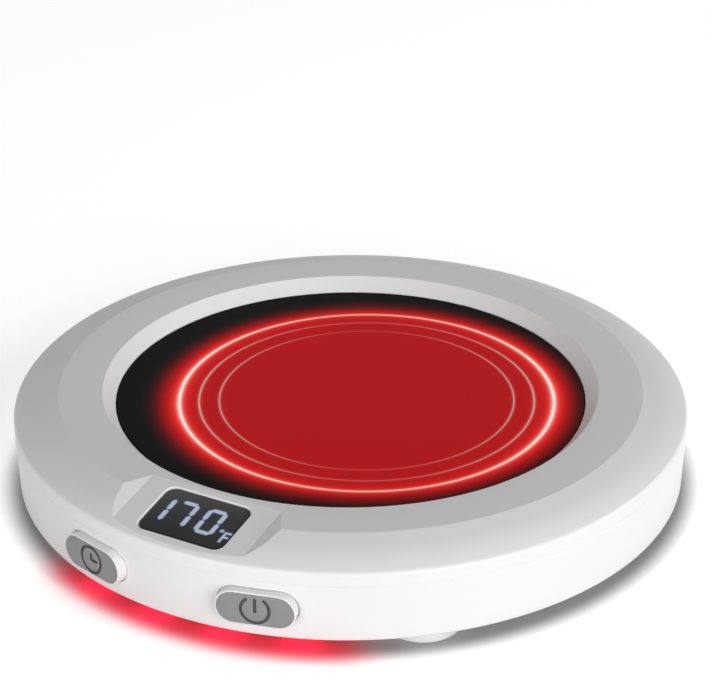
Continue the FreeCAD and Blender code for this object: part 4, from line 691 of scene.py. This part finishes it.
# %% Plate
plate_profile = [
    (0.0, 14.05), (48.2, 14.05), (48.2, 15.25), (45.35, 15.25), (45.35, PLATE_TOP, 0.3),
    (0.0, PLATE_TOP),
]
plate = turned("warming_plate", plate_profile, "housing", "heating_plate", closed=False)

# %% Feet
PAD_R = FOOT_SEAT - 0.1
pad_profile = [(0.0, 0.0), (PAD_R, 0.0, 0.55), (PAD_R, FOOT_TOP, 0.1), (0.0, FOOT_TOP)]
FEET = ("foot_right", "foot_rear", "foot_left")
for name, place in zip(FEET, foot_places):
    pad = turned("pad_" + name, pad_profile, "housing", name, segments=96, closed=False)
    pad.data.transform(Matrix.Translation((place[0] * MM, place[1] * MM, 0)))

# %% Gland
gland_profile = [
    (2.9, 58.15, 0.3), (4.2, 58.15, 0.2), (4.2, 62.3, 0.2), (3.6, 62.3), (3.6, 65.05),
    (4.6, 65.05, 0.2), (4.6, 66.15, 0.45), (2.9, 66.15, 0.4),
]
gland = turned("lead_gland", gland_profile, "housing", "cord_gland", segments=96)
gland.data.transform(upright(math.pi))

# %% [markdown]
# ## The push buttons
# Each button is a white flat-oval cap that slides in the wall, held by lugs behind it, with a
# stem that presses the switch and a seat in front for the grey face. The oval is a block whose
# upright edges are bevelled all the way, the lugs and the stem are joined on, and a fine Bevel
# on the sharp edges catches the light round the cap.

# %% Fine edges
SHARP = math.radians(40)


def bevelled(piece, width, segments=3):
    """Rounds the sharp edges by a width in millimetres."""
    nothing_selected()
    bpy.context.view_layer.objects.active = piece
    piece.select_set(True)
    edge = piece.modifiers.new("edge", "BEVEL")
    edge.width, edge.segments, edge.limit_method = width * MM, segments, "ANGLE"
    edge.angle_limit = SHARP
    bpy.ops.object.modifier_apply(modifier=edge.name)


print("edges sharper than", round(math.degrees(SHARP)), "degrees are rounded")


# %% Joining two shapes
def join_with(piece, other):
    """Makes one skin of the two shapes."""
    nothing_selected()
    bpy.context.view_layer.objects.active = piece
    piece.select_set(True)
    union = piece.modifiers.new("join", "BOOLEAN")
    union.operation, union.solver, union.object = "UNION", "EXACT", other
    bpy.ops.object.modifier_apply(modifier=union.name)
    bpy.data.objects.remove(other)


print("shapes can be joined")

# %% Button caps
LUG_BACK, LUG_REACH, CAP_FRONT, FACE_BACK = 61.0, 0.9, 66.35, 65.75
SEAT_W, SEAT_H, FACE_PLAY = 14.0, 6.1, 0.1
STEM_R, STEM_BACK = 1.5, 59.6
BUTTONS = (("power", 1), ("timer", -1))
for name, side in BUTTONS:
    cap = oval(f"{name}_cap", BUTTON_W, BUTTON_H, LUG_BACK, CAP_FRONT)
    bevelled(cap, 0.22)
    take_away(cap, oval("seat", SEAT_W, SEAT_H, FACE_BACK, 67))
    lug_w = BUTTON_W + 2 * LUG_REACH
    join_with(cap, oval("lugs", lug_w, BUTTON_H - 0.02, LUG_BACK - 0.001, LUG_BACK + 1))
    join_with(cap, round_rod("stem", STEM_R, STEM_BACK, LUG_BACK + 0.5))
    cap.data.transform(upright(BUTTON_TURN * side))
    finish_piece(cap, f"{name}_button", f"{name}_button", smooth=25)

# %% [markdown]
# The grey faces are engraved: a ring with a gap and a bar for power, a ring with two hands for
# the timer. An image of the signs would look flat from the side, so the grooves are cut with
# tools of their own shape, and the fine Bevel gives them a bright lower edge.

# %% Tools for the rings
GROOVE, GROOVE_DEPTH, SIGN_R = 0.29, 0.34, 2.55
GROOVE_FLOOR, GROOVE_TOP = BUTTON_FRONT - GROOVE_DEPTH, 67


def whole_ring():
    """A closed ring of the groove's width, lying flat."""
    inner, outer = SIGN_R - GROOVE, SIGN_R + GROOVE
    loop = [(inner, GROOVE_FLOOR), (outer, GROOVE_FLOOR)]
    loop += [(outer, GROOVE_TOP), (inner, GROOVE_TOP)]
    return turned("ring", loop, None, None, segments=64)


def open_ring(first, last):
    """An arc of the groove's width, lying flat: a rectangle spun about the middle."""
    nothing_selected()
    bpy.ops.mesh.primitive_plane_add(size=1.0)
    tool = bpy.context.object
    tool.scale = (2 * GROOVE * MM, (GROOVE_TOP - GROOVE_FLOOR) * MM, 1)
    bpy.ops.object.transform_apply(scale=True)
    stand = Matrix.Translation((SIGN_R * MM, 0, (GROOVE_TOP + GROOVE_FLOOR) / 2 * MM))
    stand = stand @ Matrix.Rotation(math.pi / 2, 4, "X")
    tool.data.transform(Matrix.Rotation(first, 4, "Z") @ stand)
    bpy.ops.object.mode_set(mode="EDIT")
    bpy.ops.mesh.select_all(action="SELECT")
    bpy.ops.mesh.spin(steps=48, angle=first - last, center=(0, 0, 0), axis=(0, 0, 1))
    bpy.ops.mesh.select_all(action="SELECT")
    bpy.ops.mesh.remove_doubles(threshold=1e-7)
    bpy.ops.mesh.normals_make_consistent(inside=False)
    bpy.ops.object.mode_set(mode="OBJECT")
    return tool


def stroke(name, left, right, low, high, roundness):
    """A straight stroke of a sign, as a tool."""
    return slab(name, left, right, low, high, GROOVE_FLOOR, GROOVE_TOP, GROOVE * roundness)


print("grooves are", 2 * GROOVE, "mm wide and", GROOVE_DEPTH, "mm deep")

# %% Engraved fronts
RING_GAP, UPWARD = math.radians(34), math.pi / 2
for name, side in BUTTONS:
    face = oval(f"{name}_front", SEAT_W - FACE_PLAY, SEAT_H - FACE_PLAY, FACE_BACK, BUTTON_FRONT)
    if name == "power":
        take_away(face, open_ring(UPWARD + RING_GAP, math.tau + UPWARD - RING_GAP))
        take_away(face, stroke("bar", -GROOVE, GROOVE, -0.6, 2.3, 0.99))
    else:
        take_away(face, whole_ring())
        hands = stroke("hand_up", -GROOVE, GROOVE, -GROOVE, 1.3, 0.9)
        join_with(hands, stroke("hand_side", -GROOVE, 1.7, -GROOVE, GROOVE, 0.9))
        take_away(face, hands)
    bevelled(face, 0.07, 2)
    face.data.transform(upright(BUTTON_TURN * side))
    finish_piece(face, f"{name}_button", f"{name}_button_face", smooth=25)

# %% [markdown]
# ## The display
# The window is a dark lens with rounded corners and a fine polished edge, set just below the
# floor of the cut. On the real warmer the figures shine through it. Here they are copies of the
# packed bars, so that they stay in their place, laid a hair above the lens: one is widened a
# little for the figures, and a second, wider and dim blue, lies under it as the light that
# spills into the lens.

# %% Window
LENS_PLAY, LENS_TOP, LENS_LOW = 0.1, -0.15, -1.15
lens = slab("window_lens", -WINDOW_HALF + LENS_PLAY, WINDOW_HALF - LENS_PLAY,
            WINDOW_LOW + LENS_PLAY, WINDOW_HIGH - LENS_PLAY, LENS_LOW, LENS_TOP, 1.9)
bevelled(lens, 0.06, 2)
lens.data.transform(strip)
finish_piece(lens, "housing", "display_window", smooth=25)

# %% Lit figures and their halo
digits = frame["nodes"]["display_digits"]


def flat_copy(name, spread_mm, lift_mm):
    """A copy of the lit bars, widened all round and set just above the lens."""
    nothing_selected()
    copy = bpy.data.objects.new(name, digits.data.copy())
    bpy.context.scene.collection.objects.link(copy)
    copy.data.transform(strip.inverted())
    low = min(v.co.z for v in copy.data.vertices)
    high = max(v.co.z for v in copy.data.vertices)
    edit_only(copy, lambda co: True)
    bpy.ops.mesh.remove_doubles(threshold=1e-6)
    bpy.ops.mesh.dissolve_limited(angle_limit=0.02)
    bpy.ops.mesh.normals_make_consistent(inside=False)
    bpy.ops.transform.shrink_fatten(value=spread_mm * MM, use_even_offset=True)
    bpy.ops.object.mode_set(mode="OBJECT")
    edit_only(copy, lambda co: co.z < (low + high) / 2)
    bpy.ops.mesh.delete(type="VERT")
    bpy.ops.object.mode_set(mode="OBJECT")
    width = max(v.co.x for v in copy.data.vertices) - min(v.co.x for v in copy.data.vertices)
    print(name, "is", round(width / MM, 2), "mm across")
    if copy.data.polygons[0].normal.z < 0:
        copy.data.flip_normals()
    for vertex in copy.data.vertices:
        vertex.co.z = (LENS_TOP + lift_mm) * MM
    copy.data.transform(strip)
    finish_piece(copy, "housing", None, smooth=25)
    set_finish(copy, "digit_lit")
    return copy


halo = flat_copy("figure_halo", 0.22, 0.012)
figures = flat_copy("lit_figures", 0.05, 0.024)
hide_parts("display_digits")

# %% [markdown]
# ## Finishes of the outside
# The casing is moulded in white with a satin sheen: a very fine grain and faint cloudy changes of
# gloss. The feet and the gland are softer and duller.

# %% White casing and soft parts
casing = grained("casing_white", (0.80, 0.80, 0.80), 0.42, grain=0.22, relief=0.004, shade=0.025,
                 Coat_Roughness=0.25, Coat_Weight=0.06, Specular_IOR_Level=0.35)
silicone = grained("foot_silicone", (0.74, 0.74, 0.74), 0.62, grain=0.3, relief=0.01, shade=0.05)
gland_rubber = grained("gland_rubber", (0.70, 0.70, 0.68), 0.6, grain=0.3, shade=0.06)


def dress(pieces, finish):
    """Gives the pieces one finish."""
    for piece in pieces:
        piece.data.materials.clear()
        piece.data.materials.append(finish.material)


dress((top, base), casing)
print("casing finish:", len(casing.tree.nodes), "nodes")

# %% [markdown]
# The plate has a black, sandy, nearly matt coating. Though the plate is no lamp, a painted red
# glow is put into its emission: an even red inside, a brighter red ring with a white line in it,
# and two faint lines further in. The lines are painted strongest at the left and right, as
# painted highlights, as the photograph shows them. The rings lie 3.6 mm off the plate's middle
# there, and the same place is kept.

# %% Plate coating
coating = Finish("plate_black", Specular_IOR_Level=0.1, IOR=1.15, Emission_Strength=1.0)
sand = coating.noise(0.16, 2)
clouds = coating.noise(9, 3)
coating.feed("Base Color", coating.blend(sand, (0.003, 0.003, 0.003), (0.013, 0.013, 0.014)))
coating.feed("Roughness", clamp(sand * 0.14 + clouds * 0.08 + 0.36))
coating.bump(sand, 0.012, 0.6)
print("plate coating is ready")

# %% Painted rings of light
RING_X, RING_Y, RING_TURN = 3.58, -0.05, math.radians(29.3)
RING_R, SECOND_R, THIRD_R = 36.2, 32.4, 28.5
RED_IN, RED_OUT = 38.6, 43.8
reach, angle = polar(coating, RING_X, RING_Y)
# The painted glow and its lines are made stronger at the left and right, as painted highlights.
across = (angle - RING_TURN).math("SINE")
side_highlight = across * across
body = clamp((RED_IN - reach) * 0.4) * 0.50 + near(reach, 37.4, 3.4) * (0.34 + side_highlight * 0.3)
body = clamp(body) * clamp((RED_OUT - reach) * 0.24)
ring = near(reach, RING_R, 0.34 + side_highlight * 0.16) * (0.55 + side_highlight * 0.5)
second = near(reach, SECOND_R, 0.26) * (0.1 + side_highlight * 0.3)
third = near(reach, THIRD_R, 0.22) * (side_highlight * 0.3 + 0.06)
painted_glow_band = near(reach, RING_R, 0.8) * 0.36
# Painted light: the plate is no lamp, but its emission colour paints the red glow and its lines.
painted_red_glow = coating.blend(body, (0.0, 0.0, 0.0), (0.80, 0.002, 0.004))
painted_red_glow = coating.blend(painted_glow_band, painted_red_glow, (1.0, 0.08, 0.02))
painted_glow_lines = clamp(ring + (second + third))
coating.feed("Emission Color", coating.blend(painted_glow_lines, painted_red_glow, (1.0, 0.80, 0.70)))
dress([plate], coating)
print("rings at", RING_R, SECOND_R, THIRD_R, "mm")

# %% [markdown]
# The lens is glossy and nearly black. The figures, their halo and the lit strip give light
# themselves, so their colour feeds the emission too, with faint clouds as a diffuser has.

# %% Display and lit strip
lens_black = grained("window_black", (0.009, 0.009, 0.010), 0.16, grain=0.5, relief=0.001,
                     shade=0.3, Specular_IOR_Level=0.2)
dress([lens], lens_black)


def lit(name, colour, strength, shade=0.15):
    """A surface that gives light of its own colour."""
    finish = grained(name, colour, 0.4, grain=0.5, relief=0.002, shade=shade,
                     Emission_Strength=strength)
    cloud = finish.noise(1.2, 2)
    dark = tuple(c * (1 - shade) for c in colour)
    finish.feed("Emission Color", finish.blend(cloud, dark, colour))
    return finish


digit_light = lit("digit_lit", (0.36, 0.43, 0.48), 0.45)
halo_light = lit("digit_halo", (0.022, 0.034, 0.13), 0.8)
strip_light = lit("strip_lit", (1.0, 0.05, 0.08), 1.2)
dress([figures], digit_light)
dress([halo], halo_light)
print("lit strip strength:", strip_light.shader.inputs["Emission Strength"].default_value)

# %% [markdown]
# The buttons' faces are a plain sandy grey. Painted shade darkens the engraved signs: the
# colour darkens with the depth below the front, measured along each button's own direction. Both
# buttons stand at the same angle left and right, so one sum serves both.

# %% Button faces
grey = Finish("button_grey")
x, y = grey.axes()
out = x.math("ABSOLUTE") * math.sin(BUTTON_TURN) - y * math.cos(BUTTON_TURN)
painted_groove_shade = clamp((BUTTON_FRONT - 0.06 - out) * 6)
sand = grey.noise(0.18, 2)
plain = grey.blend(sand * 0.6 + grey.noise(5) * 0.4, (0.215, 0.215, 0.22), (0.25, 0.25, 0.255))
# Painted shade: the engraved grooves are coloured darker than the face.
grey.feed("Base Color", grey.blend(painted_groove_shade, plain, (0.06, 0.06, 0.062)))
grey.feed("Roughness", clamp(sand * 0.1 + 0.46))
grey.bump(sand, 0.008)
print("button grey:", len(grey.tree.nodes), "nodes")

# %% [markdown]
# ## Finishes of the inside
# The vents let the eye in, and every solid may be looked at by itself. The boards are green
# solder mask over copper tracks: a zigzag of lines, broken up by noise, that stands up a little.

# %% Boards
TRACK_STEP, TRACK_HALF = 1.1, 0.16
board = Finish("board_green", Roughness=0.4, Coat_Roughness=0.15)
x, y = board.axes()
bent = y + clamp(x * 0.5, -4, 4)
lines = board.node("Math", {"operation": "PINGPONG"}, {0: bent, 1: TRACK_STEP})
track = near(lines, TRACK_STEP / 2, TRACK_HALF)
patch = board.noise(6, 2)
mask = clamp(track * clamp((patch - 0.42) * 9))
board.feed("Base Color", board.blend(mask, (0.012, 0.10, 0.035), (0.05, 0.24, 0.09)))
board.feed("Roughness", clamp(patch * 0.2 + 0.28))
board.bump(mask, 0.03)
print("board finish:", len(board.tree.nodes), "nodes")

# %% [markdown]
# Rolled steel, turned screws and foil show fine lines in one direction. Noise that is stretched
# along that direction gives them to the colour, the gloss and the relief at once.


# %% Metals
def metal(name, colour, roughness, stretch=(1, 24, 1)):
    """Metal with the fine lines that rolling or turning leaves."""
    finish = Finish(name, Metallic=1.0)
    lines = finish.noise(2.2, 3, stretch)
    cloud = finish.noise(7, 3)
    dark = tuple(c * 0.8 for c in colour)
    finish.feed("Base Color", finish.blend(lines * 0.5 + cloud * 0.5, dark, colour))
    finish.feed("Roughness", clamp(lines * 0.16 + cloud * 0.1 + (roughness - 0.12)))
    finish.bump(lines, 0.006, 0.5)
    return finish


print("metals are ready")

# %% [markdown]
# The heat shield under the plate is mineral wool: pale and matt, with fibres that cross. Loose
# fibres could be hair, but they are seldom seen, so two stretched noises that cross stand for
# them in the colour and the relief.

# %% Wool
wool = Finish("insulation_wool", Roughness=0.95)
fibres = wool.noise(0.5, 6, (1, 5, 1)) * 0.5 + wool.noise(0.5, 6, (5, 1, 1)) * 0.5
wool.feed("Base Color", wool.blend(fibres, (0.55, 0.54, 0.48), (0.86, 0.85, 0.80)))
wool.bump(fibres, 0.15)
print("wool finish:", len(wool.tree.nodes), "nodes")

# %% [markdown]
# Each solid in the record names the slot it takes its finish from, so one table of finishes by
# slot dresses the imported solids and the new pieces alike.

# %% Finishes by slot
FINISHES = {
    "casing_white": casing, "foot_silicone": silicone, "plate_black": coating,
    "button_grey": grey, "window_black": lens_black, "digit_lit": digit_light,
    "glow_lens_red": strip_light,
    "light_chip": lit("light_chip", (0.95, 0.85, 0.6), 1.0),
    "seal_silicone": grained("seal_silicone", (0.12, 0.12, 0.12), 0.6, grain=0.3),
    "heater_foil": metal("heater_foil", (0.80, 0.52, 0.30), 0.35, (12, 1, 1)),
    "insulation_wool": wool,
    "pan_steel": metal("pan_steel", (0.62, 0.62, 0.63), 0.34),
    "terminal_brass": metal("terminal_brass", (0.80, 0.58, 0.25), 0.3, (1, 1, 8)),
    "screw_steel": metal("screw_steel", (0.68, 0.68, 0.70), 0.28, (8, 8, 1)),
    "sensor_metal": metal("sensor_metal", (0.74, 0.74, 0.75), 0.38, (6, 6, 1)),
    "light_block_white": grained("light_block_white", (0.8, 0.8, 0.8), 0.5, shade=0.05),
    "board_green": board,
    "component_black": grained("component_black", (0.018, 0.018, 0.02), 0.5, shade=0.3,
                               relief=0.02),
    "connector_cream": grained("connector_cream", (0.74, 0.69, 0.56), 0.5, shade=0.08),
    "gland_rubber": gland_rubber,
    "clamp_plastic": grained("clamp_plastic", (0.6, 0.6, 0.58), 0.5, shade=0.08),
    "wire_heater": grained("wire_heater", (0.5, 0.025, 0.02), 0.45, shade=0.15),
    "wire_signal": grained("wire_signal", (0.05, 0.05, 0.055), 0.42, shade=0.2),
}
print("finishes:", len(FINISHES))

# %% Give every solid and piece its finish
for name, node in frame["nodes"].items():
    dress([node], FINISHES[SLOT_OF[name]])
bare = [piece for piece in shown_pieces() if not piece.data.materials]
for piece in bare:
    dress([piece], FINISHES[piece["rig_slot"]])
print("dressed by slot:", [piece.name for piece in bare])
